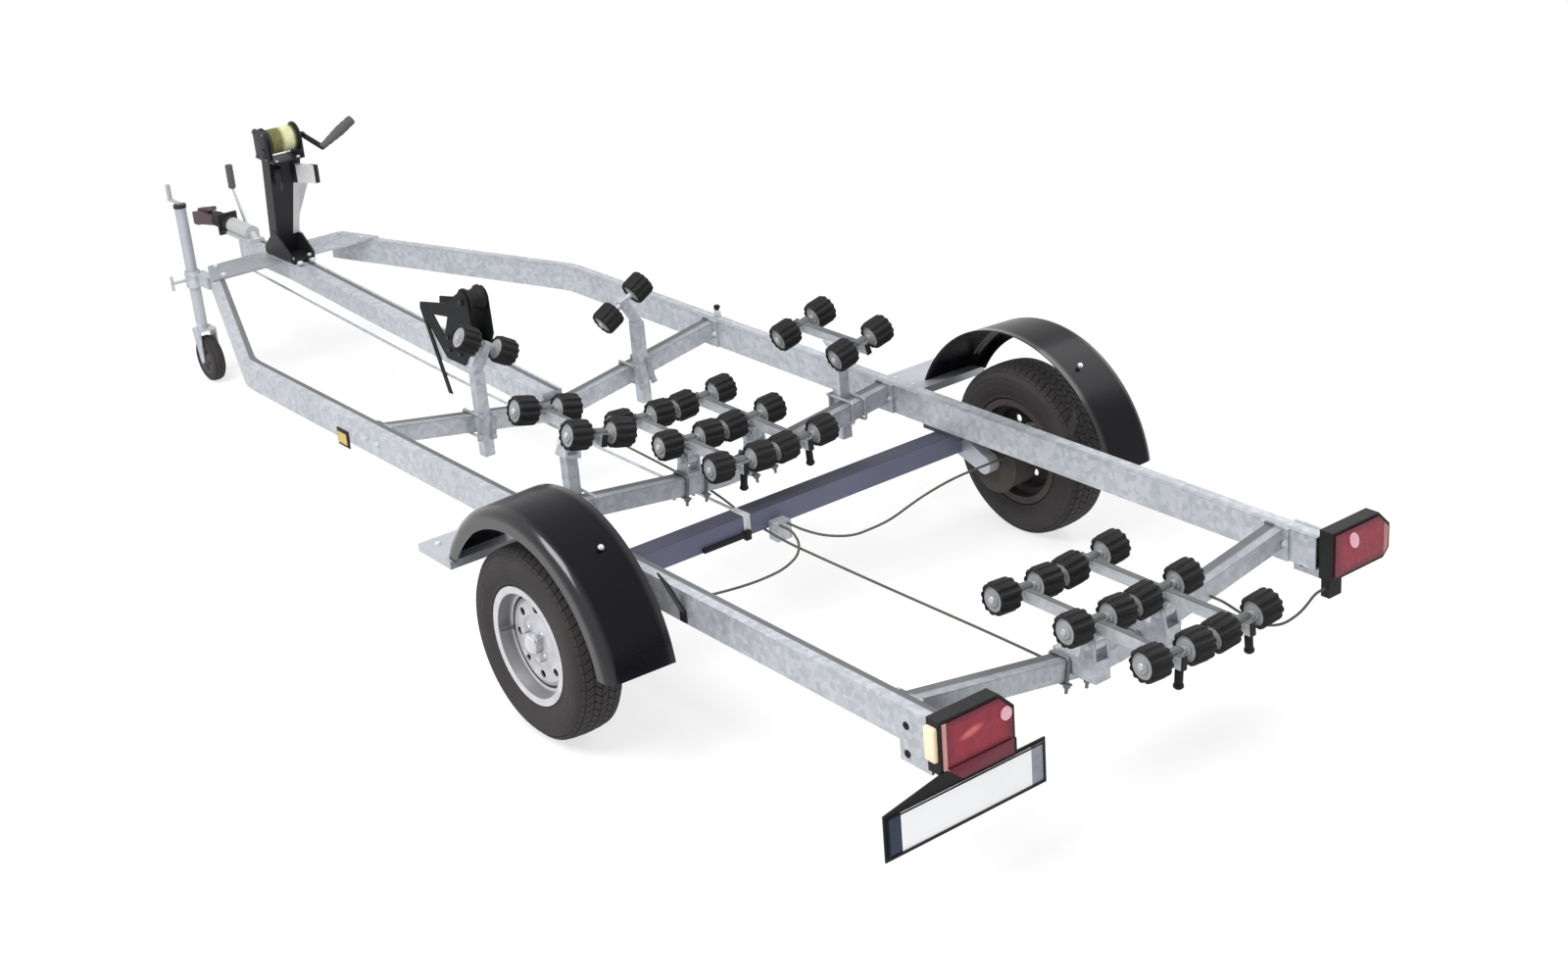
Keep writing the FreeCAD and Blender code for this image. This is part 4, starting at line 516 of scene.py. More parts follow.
def makeLamps():
    pale = clearLens("paleLens", (0.66, 0.24, 0.32), (0.92, 0.62, 0.70))
    amber = clearLens("amberMarker", (0.72, 0.52, 0.30), (0.93, 0.82, 0.62))
    for name, kind in (("lampDiscLeft", "disc"), ("lampEyeRight", "eye")):
        radius, thin = lamp[kind + "Radius"], lamp[kind + "Thin"]
        shape = lathe([(along * radius * thin, ring * radius) for along, ring in lamp["dome"]], 32)
        bmesh.ops.scale(shape, vec=(thin, 1, 1), verts=shape.verts)
        bmesh.ops.rotate(shape, verts=shape.verts, matrix=Matrix.Rotation(math.radians(lamp["turn"]), 3, "Z"))
        shape.transform(alongTo((0, -1, 0), at(lamp[kind][0], lamp["face"], lamp[kind][1])))
        finishPiece(shape, name, "red_lens", pale)
    shape = blockAt(lamp["lowLens"], 0.0015)
    low, high = lamp["lowLens"]
    middle = (at(*low) + at(*high)) / 2
    corner = [vert for vert in shape.verts if vert.co.x < middle.x and vert.co.z < middle.z]
    bmesh.ops.translate(shape, vec=(lamp["lowSlant"], 0, 0), verts=corner)
    finishPiece(shape, "lampLowLens", "red_lens")
    finishPiece(blockAt(lamp["marker"], 0.006, 3), "sideMarker", "amber_lens", amber)


finishes["red_lens"] = lampLens()
makeLamps()


plate = {"left": -0.948, "right": -0.428, "band": 0.043, "face": -1.494, "low": 0.227, "high": 0.339, "rim": 0.0035,
         "deep": 0.0035}


def plateSheet():
    material, point = newMaterial("plateSheet")
    across = point.axis("X")
    white = point.noise(5.0).blend((0.86, 0.87, 0.88), (0.93, 0.94, 0.95))
    blue = point.noise(30.0).blend((0.009, 0.022, 0.045), (0.022, 0.042, 0.075))
    grey = point.noise(30.0).blend((0.16, 0.18, 0.21), (0.34, 0.36, 0.40))
    right = across > plate["right"] - plate["band"]
    band = (across < plate["left"] + plate["band"]) + right
    cells = point.node("TexVoronoi", {}, {"Vector": point, "Scale": 420.0}, "Distance")
    return setShader(material, point, (cells, 0.08, 0.0002), base=band.blend(white, right.blend(blue, grey)),
                     rough=0.28 + point.noise(60.0) * 0.1, coat=0.08, shine=0.2)


def makePlateRim():
    left, right, low, high, wide = [plate[name] for name in ("left", "right", "low", "high", "rim")]
    shape = bmesh.new()
    for first, last, under, over in ((left, right, low, low + wide), (left, right, high - wide, high),
                                     (left, left + wide, low, high), (right - wide, right, low, high)):
        addShape(shape, blockAt(((first, plate["face"] - plate["deep"], under), (last, plate["face"], over)), 0.001))
    finishPiece(shape, "plateRim", "dull_plastic")


finishes["plate_white"] = plateSheet()
makePlateRim()
print("lamps and plate made")


# Fasteners and small trim, set at places counted from the wheel axle

def bentRod(radius, start, leg, across, corner):  # a round rod that goes along leg, across and back
    start, leg, across = Vector(start), Vector(leg), Vector(across)
    inward = across.normalized() * corner
    shape = bmesh.new()
    bmesh.ops.create_circle(shape, segments=12, radius=radius, matrix=alongTo(leg, start))
    edges = shape.edges[:]
    legs = ((leg, start + leg + inward), (across - 2 * inward, start + leg + across - inward), (-leg, None))
    for way, centre in legs:
        made = bmesh.ops.extrude_edge_only(shape, edges=edges)["geom"]
        ring, edges = partsOf(made, bmesh.types.BMVert), partsOf(made, bmesh.types.BMEdge)
        bmesh.ops.translate(shape, vec=way, verts=ring)
        if centre:
            made = bmesh.ops.spin(shape, geom=ring + edges, cent=centre, axis=leg.cross(across).normalized(),
                                  angle=math.pi / 2, steps=5)["geom_last"]
            edges = partsOf(made, bmesh.types.BMEdge)
    bmesh.ops.holes_fill(shape, edges=shape.edges[:])
    bmesh.ops.recalc_face_normals(shape, faces=shape.faces)
    return shape


uBolt = {"radius": 0.005, "half": 0.036, "corner": 0.010, "leg": 0.088, "top": -0.004, "plate": (0.011, 0.047),
         "plateThick": 0.006, "under": -0.0635, "nut": 0.010}


def addUBolt(target, matrix):  # over a tube whose top is at the origin, its legs down along -Z
    half, leg, under = uBolt["half"], uBolt["leg"], uBolt["under"]
    addShape(target, bentRod(uBolt["radius"], (0, -half, uBolt["top"] - leg), (0, 0, leg), (0, 2 * half, 0),
                             uBolt["corner"]), matrix)
    low = under - uBolt["plateThick"]
    wide, long = uBolt["plate"]
    addShape(target, roundBlock((-wide, -long, low), (wide, long, under), 0.0015), matrix)
    for side in (-half, half):
        addBolt(target, matrix @ Vector((0, side, low)), matrix.to_3x3() @ Vector((0, 0, -1)), uBolt["nut"])


crossmember = {"front": (1.420, 0.343, 0.177), "middle": (0.420, 0.378, 0.1264), "rear": (-1.290, 0.345, 0.174),
               "half": 0.0305, "near": 0.036, "unshaded": 0.0250, "shaded": 0.0290, "far": (-0.006, 0.004), "soft": 0.38}


def crossTop(point):  # painted shade on top of the crossmembers, most of it along the front edge
    across, ahead, high = point.axis("X").maths("ABSOLUTE"), point.axis("Y") - axlePlace, point.axis("Z")
    mask, soft = 0.0, crossmember["soft"]
    for name in ("front", "middle", "rear"):
        place, dip, slope = crossmember[name]
        near = (ahead - place).maths("ABSOLUTE") < crossmember["near"]
        top = (high - across * slope).ramp(dip + crossmember["unshaded"], dip + crossmember["shaded"])
        mask += near * top * (soft + (ahead - place).ramp(*crossmember["far"]) * (1 - soft))
    return mask


def onCross(name, across):  # a frame on the top of a crossmember, its Z out of the tube
    ahead, dip, slope = crossmember[name]
    turn = Matrix.Rotation(-math.atan(slope) * math.copysign(1, across), 4, "Y")
    place = at(across, ahead, dip + slope * abs(across))
    return Matrix.Translation(place) @ turn @ Matrix.Translation((0, 0, crossmember["half"]))


clampAcross = (0.0965, 0.1725)  # on both sides of each bank's bracket


def makeClamps():
    shape = bmesh.new()
    for name in ("middle", "rear"):
        for across in clampAcross:
            for side in (-1, 1):
                addUBolt(shape, onCross(name, side * across))
    finishPiece(shape, "bracketClamps", "galvanized_steel", darkZinc)


postClamp = {"front": {"across": 0.3355, "wide": 0.027, "plate": 1.3500, "way": -1},
             "middle": {"across": 0.5439, "wide": 0.027, "plate": 0.4900, "way": 1, "up": 0.0683},
             "thick": 0.006, "plateWide": 0.0105, "plateHigh": 0.050, "leg": 0.124, "half": 0.037, "end": 0.022}


def makePostClamps():
    shape = bmesh.new()
    half, leg, wide, tall = [postClamp[name] for name in ("half", "leg", "plateWide", "plateHigh")]
    for name in ("front", "middle"):
        values, way = postClamp[name], postClamp[name]["way"]
        dip, slope = crossmember[name][1:]
        if "up" in values:  # level, at the flat foot of the middle posts
            high, lean = dip + values["up"], 0.0
        else:
            high, lean = dip + slope * values["across"], -math.atan(slope)
        back, front = sorted((0, way * postClamp["thick"]))
        for side in (-1, 1):
            centre = Matrix.Translation(at(side * values["across"], values["plate"], high))
            centre = centre @ Matrix.Rotation(lean * side, 4, "Y")
            for across in (-values["wide"], values["wide"]):
                addShape(shape, roundBlock((across - wide, back, -tall), (across + wide, front, tall), 0.0015), centre)
                addShape(shape, bentRod(uBolt["radius"], (across, way * postClamp["end"], -half), (0, -way * leg, 0),
                                        (0, 0, 2 * half), uBolt["corner"]), centre)
                for up in (-half, half):
                    addBolt(shape, centre @ Vector((across, way * postClamp["thick"], up)), (0, way, 0), uBolt["nut"])
    finishPiece(shape, "postClamps", "galvanized_steel", midZinc)


boltSets = (  # where "way" is given they lie on the sides, 1 for outwards, and otherwise they stand on top
    {"size": 0.010, "way": -1, "across": 0.682, "high": 0.452,  # shoes of the crossmembers
     "ahead": (1.379, 1.461, 0.379, 0.461, -1.331, -1.249)},
    {"size": 0.010, "way": 1, "across": 0.740, "high": 0.452, "ahead": (1.379, 1.461, 0.379, 0.461)},  # on the rails
    {"size": 0.010, "high": 0.470, "places": ((0.782, 0.470), (0.782, 0.376), (1.030, 0.470))},  # steps
    {"size": 0.012, "high": 0.508, "places": ((0.292, 3.590), (0.322, 3.450), (0.030, 3.330), (0.045, 3.594))},  # plate
    {"size": 0.010, "high": 0.518, "places": ((0.041, 3.380), (0.041, 3.582))},  # foot of the winch post
    {"size": 0.008, "high": 0.945, "places": ((0.050, 3.352), (0.050, 3.448))},  # winch
)
sideStub = 0.004


def makeBolts():
    shape = bmesh.new()
    for values in boltSets:
        for side in (-1, 1):
            for ahead in values.get("ahead", ()):
                addBolt(shape, at(side * values["across"], ahead, values["high"]), (side * values["way"], 0, 0),
                        values["size"], sideStub)
            for across, ahead in values.get("places", ()):
                addBolt(shape, at(side * across, ahead, values["high"]), (0, 0, 1), values["size"])
    finishPiece(shape, "frameBolts", "galvanized_steel", brightZinc)


endHole = {"across": 0.748, "ahead": -1.343, "high": (0.455, 0.375),
           "plug": [(-0.004, 0.0), (-0.004, 0.0092), (0.0, 0.0092), (0.0, 0.0112), (0.0015, 0.0112), (0.003, 0.00896),
                    (0.003, 0.00504), (0.0012, 0.004256), (0.0012, 0.0)]}
guardBolt = {"across": 0.923, "angle": 33.5, "centre": (-0.030, 0.276), "radius": 0.4672, "size": 0.008}


def makeEndPlugs():
    places = [alongTo((side, 0, 0), at(side * endHole["across"], endHole["ahead"], high))
              for side in (-1, 1) for high in endHole["high"]]
    finishPiece(addShape(bmesh.new(), lathe(endHole["plug"], 28), *places), "endPlugs", "dull_plastic")
    shape = bmesh.new()
    angle = math.radians(guardBolt["angle"])
    normal = Vector((0, -math.sin(angle), math.cos(angle)))
    for side in (-1, 1):
        place = at(side * guardBolt["across"], *guardBolt["centre"]) + normal * guardBolt["radius"]
        addBolt(shape, place, normal, guardBolt["size"])
    finishPiece(shape, "guardBolts", "galvanized_steel", brightZinc)


def rockerFrame(name):  # where a rocker turns, with X along its pivot
    across, ahead = Vector(jointOf[name]["axis"]), Vector((0, 1, 0))
    turn = Matrix((across, ahead, across.cross(ahead))).transposed().to_4x4()
    return Matrix.Translation(jointOf[name]["pos_m"]) @ turn


rockerBar = {"half": 0.0095, "low": 0.029, "top": 0.067, "dark": 0.0645, "darkHalf": 0.030, "cloud": 26.0,
             "spindleHigh": 0.062, "spindle": 0.010, "spindleEnd": 0.1195, "boss": 0.0170, "bossHalf": 0.0195,
             "lugTop": 0.034, "lugLow": 0.0135, "lugHalf": (0.034, 0.021), "eye": 0.022, "hole": 0.0123,
             "thick": 0.0197}
rockerTrim = {"pinEnd": 0.029, "pinNut": 0.0135, "edge": 0.0006, "capThick": 0.0045, "longEnd": 0.310,
              "shortEnd": 0.190, "pegAt": 0.292,
              "peg": [(0.0, 0.0), (0.0, 0.009), (-0.004, 0.0115), (-0.040, 0.0115), (-0.043, 0.014), (-0.050, 0.014),
                      (-0.055, 0.009), (-0.055, 0.0)]}


def rockerZinc(name):  # painted shade on top, which is also rougher and less metallic there
    material, point = newMaterial(name + "Zinc")
    turned = rockerFrame(name)
    offset = point.node("VectorMath", {"operation": "SUBTRACT"}, {0: point, 1: turned.to_translation()})
    across, high = [point.node("VectorMath", {"operation": "DOT_PRODUCT"}, {0: offset, 1: turned.col[way].xyz}, "Value")
                    for way in (0, 2)]
    # the top of the bar between the rollers, in painted shade
    shaded = (high > rockerBar["dark"]) * (across.maths("ABSOLUTE") < rockerBar["darkHalf"])
    cloud = point.noise(rockerBar["cloud"])
    bright = cloud.blend(zinc["dark"], (0.66, 0.67, 0.69))
    dark = cloud.blend((0.05, 0.053, 0.056), (0.15, 0.155, 0.16))
    return setShader(material, point, zinc["relief"], base=shaded.blend(bright, dark),
                     rough=0.4 + shaded * 0.2 + cloud * 0.12, metal=zinc["metal"] * (1 - shaded))


def makeRocker(name, end):
    values = rockerBar
    shape = roundBlock((-values["half"], -end, values["low"]), (values["half"], end, values["top"]), 0.002)
    thick, (long, short), low, top = [values[key] for key in ("thick", "lugHalf", "lugLow", "lugTop")]
    lug = roundBlock((-thick, -long, low), (thick, long, top), 0.0015)
    bmesh.ops.scale(lug, vec=(1, short / long, 1), verts=[vert for vert in lug.verts if vert.co.z < (low + top) / 2])
    addShape(shape, lug)
    across = alongTo((1, 0, 0), (0, 0, 0))
    eye, hole = values["eye"], values["hole"]
    addShape(shape, lathe(mirrored([(thick, hole), (thick, eye - 0.001), (thick - 0.001, eye)]), 36), across)
    axle, tip, boss, half = [values[key] for key in ("spindle", "spindleEnd", "boss", "bossHalf")]
    spindle = [(tip, 0.0), (tip, axle - 0.0015), (tip - 0.0015, axle), (half, axle), (half, boss - 0.001),
               (half - 0.001, boss)]
    places = [Matrix.Translation((0, joint["pos_m"][1] - jointOf[name]["pos_m"][1], values["spindleHigh"])) @ across
              for joint in joints if joint["parent"] == name]
    addShape(shape, lathe(mirrored(spindle), 28), *places)
    shape.transform(rockerFrame(name))
    finishPiece(shape, name + "Bar", "galvanized_steel", rockerZinc(name), name, [name])


def makeRockers():
    nuts = bmesh.new()
    edge, half, low, top = rockerTrim["edge"], rockerBar["half"], rockerBar["low"], rockerBar["top"]
    for name in frame["bodies"]:
        if "_rocker_" not in name:
            continue
        matrix = rockerFrame(name)
        short = name.startswith("side")
        end = rockerTrim["shortEnd"] if short else rockerTrim["longEnd"]
        makeRocker(name, end - rockerTrim["capThick"])
        caps = bmesh.new()
        for side in (-1, 1):
            addBolt(nuts, matrix @ Vector((side * rockerTrim["pinEnd"], 0, 0)),
                    matrix.to_3x3() @ Vector((side, 0, 0)), rockerTrim["pinNut"])
            first, last = sorted((side * (end - rockerTrim["capThick"]), side * end))
            addShape(caps, roundBlock((-half - edge, first, low - edge), (half + edge, last, top + edge), 0.0018),
                     matrix)
        if not short:
            addShape(caps, lathe(rockerTrim["peg"], 20), matrix @ Matrix.Translation((0, -rockerTrim["pegAt"], low)))
        finishPiece(caps, name + "Caps", "dull_plastic", body=name)
    finishPiece(nuts, "pivotNuts", "galvanized_steel", brightZinc)


makeClamps()
makePostClamps()
makeBolts()
makeEndPlugs()
makeRockers()
print("fasteners made")


# Things on the axle and the rails

axleTrim = {"band": ((-0.168, 0.0965, 0.3125), (-0.142, 0.1715, 0.3875)),
            "bar": ((-0.331, 0.0865, 0.316), (-0.160, 0.0985, 0.332)),
            "clip": ((-0.172, 0.0840, 0.306), (-0.150, 0.1000, 0.338)),
            "lug": ((0.722, 1.404, 0.500), (0.736, 1.436, 0.524)), "knobAt": (0.729, 1.420, 0.524),
            "knob": [(-0.001, 0.0), (-0.001, 0.006), (0.004, 0.006), (0.005, 0.011), (0.012, 0.0125), (0.018, 0.011),
                     (0.020, 0.006), (0.020, 0.0)]}


def makeAxleTrim():
    shape = addShape(blockAt(axleTrim["band"], 0.0018), blockAt(axleTrim["lug"], 0.003, 3))
    finishPiece(shape, "axleBand", "galvanized_steel", brightZinc)
    shape = addShape(blockAt(axleTrim["bar"], 0.002), blockAt(axleTrim["clip"], 0.002))
    addShape(shape, lathe(axleTrim["knob"], 20), alongTo((0, 0, 1), at(*axleTrim["knobAt"])))
    finishPiece(shape, "cableClips", "dull_plastic")


railTop = {"inner": 0.690, "bend": 2.404, "taper": 0.3486, "wide": (0.016, 0.022), "high": (0.4965, 0.4990),
           "right": 0.3}
beamTop = (0.010, 0.0295)
plateTop = {"left": (-0.02, -0.10), "shaded": 0.5}


def railEdge(point):  # painted shade along the inner edge of the tops of the rails, weaker on the right
    across, ahead = point.axis("X"), point.axis("Y") - axlePlace
    inner = railTop["inner"] - (ahead - railTop["bend"]).maths("MAXIMUM") * railTop["taper"]
    edge = point.axis("Z").ramp(*railTop["high"]) * (1 - (across.maths("ABSOLUTE") - inner).ramp(*railTop["wide"]))
    return edge * (railTop["right"] + (across < 0) * (1 - railTop["right"]))


def beamEdge(point):  # painted shade along the right edge of the drawbar
    return (point.axis("X") > beamTop[0]) * (point.axis("X") < beamTop[1])


def plateEdge(point):  # painted shade on the left half of the front plate
    return point.axis("X").ramp(*plateTop["left"]) * plateTop["shaded"]


reflector = {"across": (0.7395, 0.7450), "ahead": (1.593, 1.673), "high": (0.3755, 0.4385)}
drawbarEnd = ((-0.037, 1.4490, 0.380), (0.037, 1.4515, 0.4055))


def makeRailTrim():
    shape = bmesh.new()
    for side in (-1, 1):
        across = sorted(side * place for place in reflector["across"])
        addShape(shape, blockAt(tuple(zip(across, reflector["ahead"], reflector["high"])), 0.0015))
    finishPiece(shape, "reflectorBases", "dull_plastic")
    finishPiece(blockAt(drawbarEnd, 0.0006), "drawbarEnd", "galvanized_steel")


makeAxleTrim()
makeRailTrim()


# Winch, handles, jockey wheel and keel roller

winch = {"shaft": (3.400, 1.020), "strapHalf": 0.0635, "strapRadius": 0.0515, "layers": 9, "gap": 0.0004,
         "flange": 0.0575, "cover": ((-0.0915, 3.3420, 0.9500), (-0.0720, 3.4540, 1.0770)), "drumCore": 0.0165,
         "capAt": (-0.0900, 3.3720, 0.9800), "cap": 0.025, "capThick": 0.012, "screwIn": 0.012, "screw": 0.006,
         "shaftNut": 0.012, "shaftEnd": 0.106}


def makeStrap():
    half, core, gap, side = winch["strapHalf"], winch["drumCore"], winch["gap"], []
    step = (winch["strapRadius"] - core) / winch["layers"]
    for layer in range(winch["layers"]):  # each turn of the strap lies a little in or out of the one below
        inset = 0.0008 + 0.0016 * (layer % 2) + 0.0009 * (layer % 3)
        side += [(half - inset, core + step * layer + gap), (half - inset, core + step * (layer + 1) - gap)]
    shape = lathe(mirrored(side), 64)
    shape.transform(alongTo((1, 0, 0), at(0, *winch["shaft"])))
    finishPiece(shape, "strapRoll", "webbing", replaced=["winch_strap"])


def makeWinch():
    core, flange, outer, thick = [winch[name] for name in ("drumCore", "flange", "cap", "capThick")]
    disc = [(0.0636, core), (0.0636, flange - 0.001), (0.0646, flange), (0.0660, flange), (0.0665, flange - 0.002),
            (0.0665, core)]
    dark = bmesh.new()
    addShape(dark, lathe(disc, 48), *[alongTo((way, 0, 0), at(0, *winch["shaft"])) for way in (-1, 1)])
    addShape(dark, blockAt(winch["cover"], 0.009, 3))
    cap = [(0.0, 0.0), (0.0, outer), (thick * 0.55, outer), (thick * 0.8, outer * 0.9), (thick * 0.8, outer * 0.5),
           (thick, outer * 0.42), (thick, 0.0)]
    addShape(dark, lathe(cap, 40), alongTo((-1, 0, 0), at(*winch["capAt"])))
    finishPiece(dark, "winchCover", "black_steel")
    nuts = bmesh.new()
    (low, high), inset = [at(*corner) for corner in winch["cover"]], winch["screwIn"]
    for ahead in (low.y + inset, high.y - inset):
        for up in (low.z + inset, high.z - inset):
            addBolt(nuts, (low.x, ahead, up), (-1, 0, 0), winch["screw"])
    addBolt(nuts, at(winch["shaftEnd"], *winch["shaft"]), (1, 0, 0), winch["shaftNut"])
    finishPiece(nuts, "winchNuts", "galvanized_steel", darkZinc)


grips = {"crank": {"place": (0.101, 3.225, 0.995), "tilt": 29.0, "long": 0.172, "radii": (0.0120, 0.0210, 0.0190),
                   "ribs": 6},
         "lever": {"place": (0.040, 4.060, 0.690), "tilt": 90.0, "long": 0.1025, "radii": (0.0152, 0.0158, 0.0152),
                   "ribs": 5}}


def gripProfile(long, ribs, first, middle, last):  # the radii at its start, its fullest place and its end
    side = [(-0.001, 0.0), (-0.001, first - 0.001), (0.0, first)]
    for rib in range(ribs):
        for share, out in ((0.12, 0.0), (0.3, 0.0010), (0.7, 0.0010), (0.88, 0.0)):
            place = (rib + share) / ribs
            radius = first + (middle - first) * min(place / 0.6, 1) + (last - middle) * max((place - 0.6) / 0.4, 0)
            side.append((place * long, radius + out))
    return side + [(long, last), (long + 0.001, last - 0.002), (long + 0.001, 0.0)]


def makeGrips():
    for name, values in grips.items():
        shape = lathe(gripProfile(values["long"], values["ribs"], *values["radii"]), 28)
        tilt = math.radians(values["tilt"])
        shape.transform(alongTo((math.cos(tilt), 0, math.sin(tilt)), at(*values["place"])))
        finishPiece(shape, name + "Grip", "dull_plastic", gripRubber)


jockey = {"radius": 0.0995, "half": 0.0278, "rim": 0.066, "rimHalf": 0.024, "dish": 0.010, "hub": 0.026, "bore": 0.0085,
          "hubHalf": 0.0275}


def makeJockeyWheel():
    matrix = alongTo(jointOf["jockey_roll"]["axis"], jointOf["jockey_roll"]["pos_m"])
    radius, half, rim, rimHalf = [jockey[name] for name in ("radius", "half", "rim", "rimHalf")]
    tread = [(rimHalf, rim), (half * 0.97, rim + 0.004), (half, rim + 0.010), (half * 0.93, radius - 0.012),
             (half * 0.74, radius - 0.004), (half * 0.66, radius - 0.0075), (half * 0.60, radius - 0.003),
             (half * 0.25, radius), (half * 0.20, radius - 0.0035)]
    finishPiece(addShape(bmesh.new(), lathe(mirrored(tread), 48), matrix), "jockeyTread", "tyre", body="jockey_roll",
                replaced=["jockey_wheel"])
    dish, hub, hubHalf = jockey["dish"], jockey["hub"], jockey["hubHalf"]
    centre = [(rimHalf + 0.001, rim - 0.001), (rimHalf + 0.001, rim - 0.005), (dish, rim - 0.012), (dish, hub + 0.003),
              (hubHalf, hub - 0.004), (hubHalf, jockey["bore"])]
    finishPiece(addShape(bmesh.new(), lathe(mirrored(centre), 40), matrix), "jockeyRim", "tyre", gripRubber,
                "jockey_roll")


keel = {"half": 0.0355, "end": 0.0495, "waist": 0.0378, "bore": 0.0104, "hub": 0.020, "face": 0.046, "nut": 0.0125,
        "bolt": 0.010, "ahead": (2.010, 2.090), "high": (0.425, 0.475)}


def makeKeelRoller():
    axle = Vector(jointOf["keel_roller"]["pos_m"])
    half, end, waist, hub, face = [keel[name] for name in ("half", "end", "waist", "hub", "face")]
    side = [(half - 0.002, keel["bore"]), (half - 0.002, hub), (half - 0.006, hub + 0.003), (half - 0.006, end - 0.011),
            (half, end - 0.008), (half, end - 0.002), (half - 0.002, end), (half * 0.70, end - 0.001),
            (half * 0.60, end - 0.0045), (half * 0.30, waist + 0.001), (half * 0.12, waist)]
    shape = lathe(mirrored(side), 56)
    shape.transform(alongTo(jointOf["keel_roller"]["axis"], axle))
    finishPiece(shape, "keelRubber", "roller_rubber", body="keel_roller", replaced=["keel_roller"])
    nuts = bmesh.new()
    for side in (-1, 1):
        addBolt(nuts, axle + Vector((side * face, 0, 0)), (side, 0, 0), keel["nut"])
        for high in keel["high"]:
            for ahead in keel["ahead"]:
                addBolt(nuts, at(side * face, ahead, high), (side, 0, 0), keel["bolt"])
    finishPiece(nuts, "keelNuts", "black_steel")


makeStrap()
makeWinch()
makeGrips()
makeJockeyWheel()
makeKeelRoller()
print("winch, grips and small wheels made")


# The finish of each node of the frame: some show two, the second one where the mask is 1

looks = {  # two colours, roughness and metal
    "zinc": ((0.30, 0.32, 0.355), (0.52, 0.54, 0.57), 0.38, 0.45),
    "pale": ((0.44, 0.44, 0.45), (0.62, 0.62, 0.63), 0.42, 0.2),
    "black": ((0.007, 0.007, 0.009), (0.016, 0.016, 0.019), 0.42, 0.0),
    "cast": ((0.34, 0.345, 0.35), (0.54, 0.545, 0.55), 0.45, 0.2),
    "dustAndShade": ((0.018, 0.015, 0.014), (0.060, 0.051, 0.046), 0.6, 0.0),
    "gaiter": ((0.010, 0.009, 0.010), (0.024, 0.020, 0.022), 0.62, 0.0),
    "blueFace": ((0.082, 0.088, 0.140), (0.142, 0.150, 0.220), 0.42, 0.0),
    "blueShadedTop": ((0.030, 0.030, 0.048), (0.060, 0.060, 0.088), 0.5, 0.0)}
mixed = {
    # the top of the axle beam is darker: painted shade
    "axle_beam": ("blueFace", "blueShadedTop", lambda across, ahead, high: high > 0.3835),
    "winch_frame": ("black", "pale", lambda across, ahead, high:
                    (across > 0.0145) * (high < 0.869) * (ahead > 3.461)
                    + (across > 0.034) * (across < 0.078) * (high > 0.83) * (high < 0.92) * (ahead < 3.42)),
    "winch_post": ("black", "pale", lambda across, ahead, high:
                   (across - high * 0.051 > -0.008) * (high > 0.600) * (high < 0.905)),
    "overrun_housing": ("cast", "gaiter", lambda across, ahead, high: ahead > 4.030),
    "handbrake_lever": ("zinc", "black", lambda across, ahead, high: high > 0.690),
    "jockey_tube": ("zinc", "black", lambda across, ahead, high: (high > 0.7605) * (high < 0.7745)),
    "mudguard_stays": ("zinc", "black", lambda across, ahead, high: ahead < -0.3),
    # the outer ends of the swing arms, by the wheels: dust together with painted shade
    "swing_arms": ("zinc", "dustAndShade", lambda across, ahead, high: across.maths("ABSOLUTE") > 0.7915),
}


def twoFinishes(name, firstLook, secondLook, maskOf):
    material, point = newMaterial(name + "Finish")
    first, second = looks[firstLook], looks[secondLook]
    mask = maskOf(point.axis("X"), point.axis("Y") - axlePlace, point.axis("Z"))
    cloud = point.noise(paint["cloud"])
    rough = first[2] + mask * (second[2] - first[2]) + point.noise(paint["grain"]) * paint["uneven"]
    return setShader(material, point, (200.0, 0.12, 0.0005), rough=rough, shine=0.3,
                     metal=first[3] + mask * (second[3] - first[3]),
                     base=mask.blend(cloud.blend(*first[:2]), cloud.blend(*second[:2])))


nodeFinish = {name: twoFinishes(name, *values) for name, values in mixed.items()}
nodeFinish.update({
    # rails, drawbar, front plate and crossmembers: zinc with painted shade
    "side_rails": zincCoat("railZinc", shadeAt=railEdge),
    "drawbar_beam": zincCoat("beamZinc", shadeAt=beamEdge),
    "front_plate": zincCoat("plateZinc", shadeAt=plateEdge),
    "crossmembers": zincCoat("crossZinc", shadeAt=crossTop),
    "winch_crank": finishes["black_steel"],
    "coupling_head": paintedSteel("headPaint", (0.085, 0.045, 0.055), (0.03, 0.018, 0.022), 0.42, 0.2),
    "keel_bracket": paintedSteel("keelPaint", (0.009, 0.010, 0.011), (0.004, 0.0045, 0.005), 0.5, 0, 0.02,
                                 0.15),
    "brake_cables": rubber("cableCover", (0.10, 0.10, 0.08), (0.055, 0.055, 0.045), 0.5, 0.1, 0.2),
})
for part in frame["record"]["subparts"]:
    name = part["node"]
    materials = frame["nodes"][name].data.materials
    materials.clear()
    materials.append(nodeFinish[name] if name in nodeFinish else finishes[part["material_slot"]])
print("nodes finished")


studio = {"floorSize": 60.0, "floorTone": 0.95, "worldLight": 0.60, "nearGlow": 0.70, "fade": (3.2, 6.5),
          "keyLight": ((-4.5, -1.0, 7.5), 5.0, 790.0), "fillLight": ((5.5, -1.5, 5.0), 5.0, 200.0)}
view = {"place": (-3.8199, -6.4430, 3.2117), "aim": (-0.0008, -1.2517, 0.4198), "roll": -4.67, "lens": 51.41}


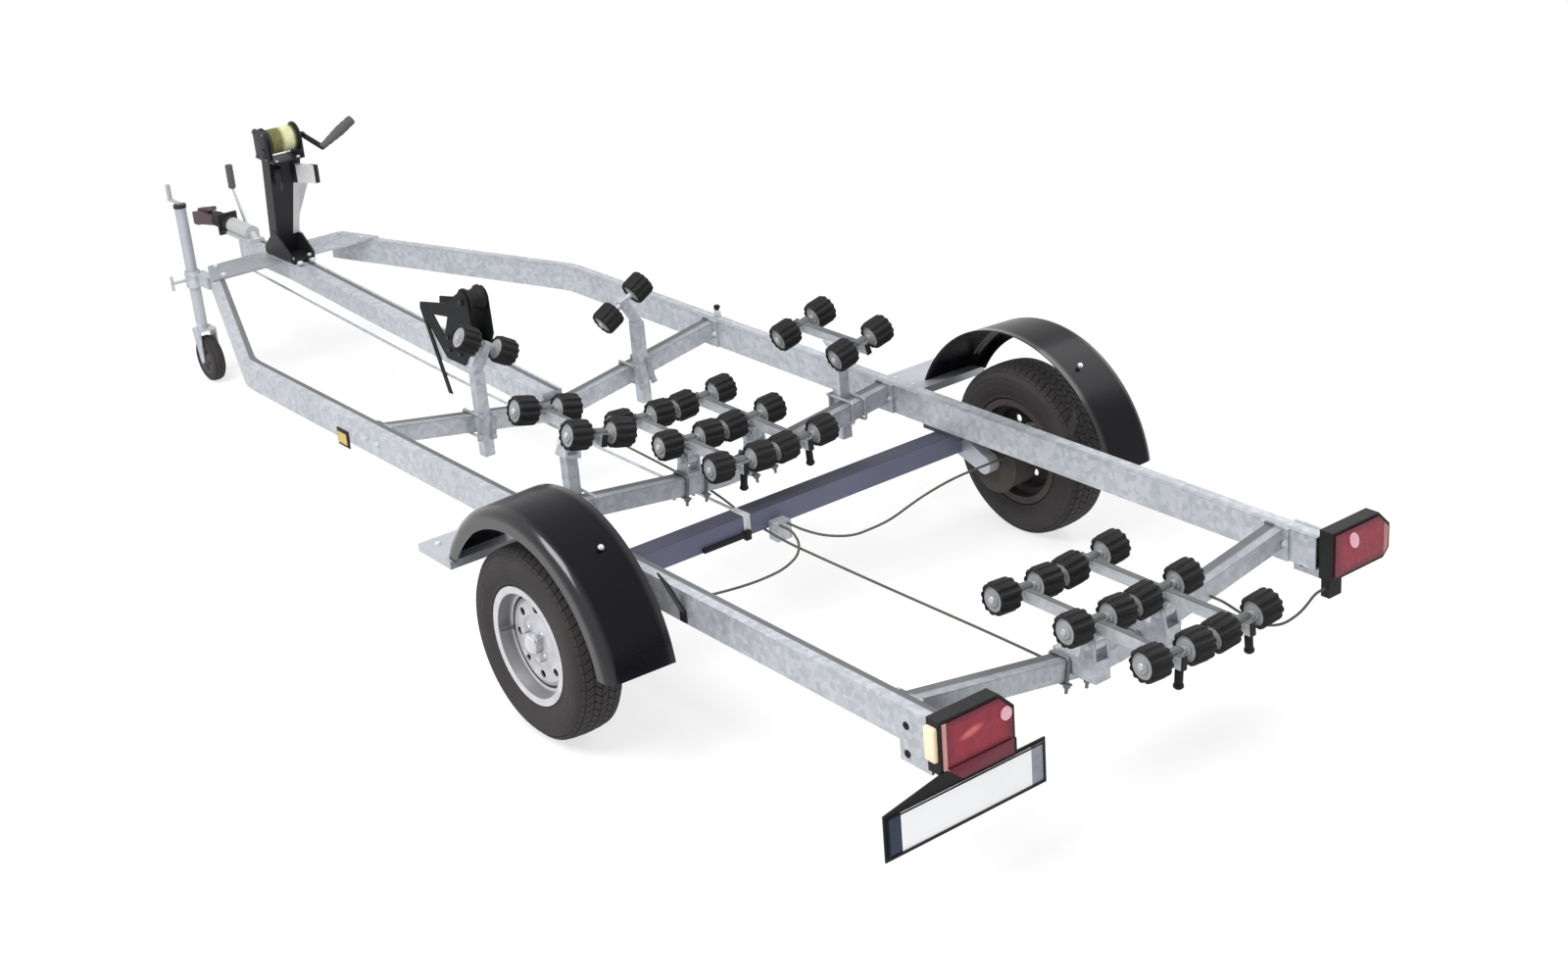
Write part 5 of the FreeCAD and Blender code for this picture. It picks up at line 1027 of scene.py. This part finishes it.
def aimed(name, data, place, aim, roll=0.0):  # a lamp or a camera that looks at a point
    item = bpy.data.objects.new(name, data)
    bpy.context.scene.collection.objects.link(item)
    item.location = place
    turn = (Vector(aim) - Vector(place)).to_track_quat("-Z", "Y")
    item.rotation_mode = "QUATERNION"
    item.rotation_quaternion = turn @ Quaternion((0, 0, 1), math.radians(roll))
    return item


def seenRays(tree):  # camera, mirror and glass rays see the white background
    camera, glossy, glass = [Socket(tree).node("LightPath", {}, {}, "Is %s Ray" % name)
                             for name in ("Camera", "Glossy", "Transmission")]
    return camera.maths("MAXIMUM", glossy).maths("MAXIMUM", glass)


def makeFloor():
    shape = bmesh.new()
    bmesh.ops.create_grid(shape, x_segments=1, y_segments=1, size=studio["floorSize"] / 2)
    mesh = bpy.data.meshes.new("floor")
    shape.to_mesh(mesh)
    shape.free()
    floor = bpy.data.objects.new("floor", mesh)
    bpy.context.scene.collection.objects.link(floor)
    material, point = newMaterial("floorWhite")
    setShader(material, point, base=[studio["floorTone"]] * 3, rough=0.9, shine=0.0)
    far = point.node("VectorMath", {"operation": "LENGTH"}, {0: point}, "Value").ramp(*studio["fade"])
    share = seenRays(point.tree) * (studio["nearGlow"] + far * (1 - studio["nearGlow"]))
    glow = point.node("Emission", {}, {"Strength": 1.0})
    lit = Socket(point.tree, point.tree.nodes["Principled BSDF"].outputs[0])
    surface = point.node("MixShader", {}, {0: share, 1: lit, 2: glow})
    setInput(point.tree.nodes["Material Output"].inputs["Surface"], surface)
    mesh.materials.append(material)


def makeStudio():
    scene = bpy.context.scene
    scene.view_settings.view_transform = "Standard"
    scene.world = bpy.data.worlds.new("studioWorld")
    scene.world.use_nodes = True
    tree = scene.world.node_tree
    background = tree.nodes["Background"].inputs
    setInput(background["Strength"], seenRays(tree) * (1 - studio["worldLight"]) + studio["worldLight"])
    setInput(background["Color"], (1, 1, 1))
    for name in ("keyLight", "fillLight"):
        place, size, power = studio[name]
        light = bpy.data.lights.new(name, "AREA")
        light.size, light.energy = size, power
        aimed(name, light, place, (0, 0, 0.4))
    lens = bpy.data.cameras.new("photoCamera")
    lens.lens, lens.sensor_width = view["lens"], 36.0
    scene.camera = aimed("photoCamera", lens, view["place"], view["aim"], view["roll"])


makeFloor()
makeStudio()
print("studio and camera set")
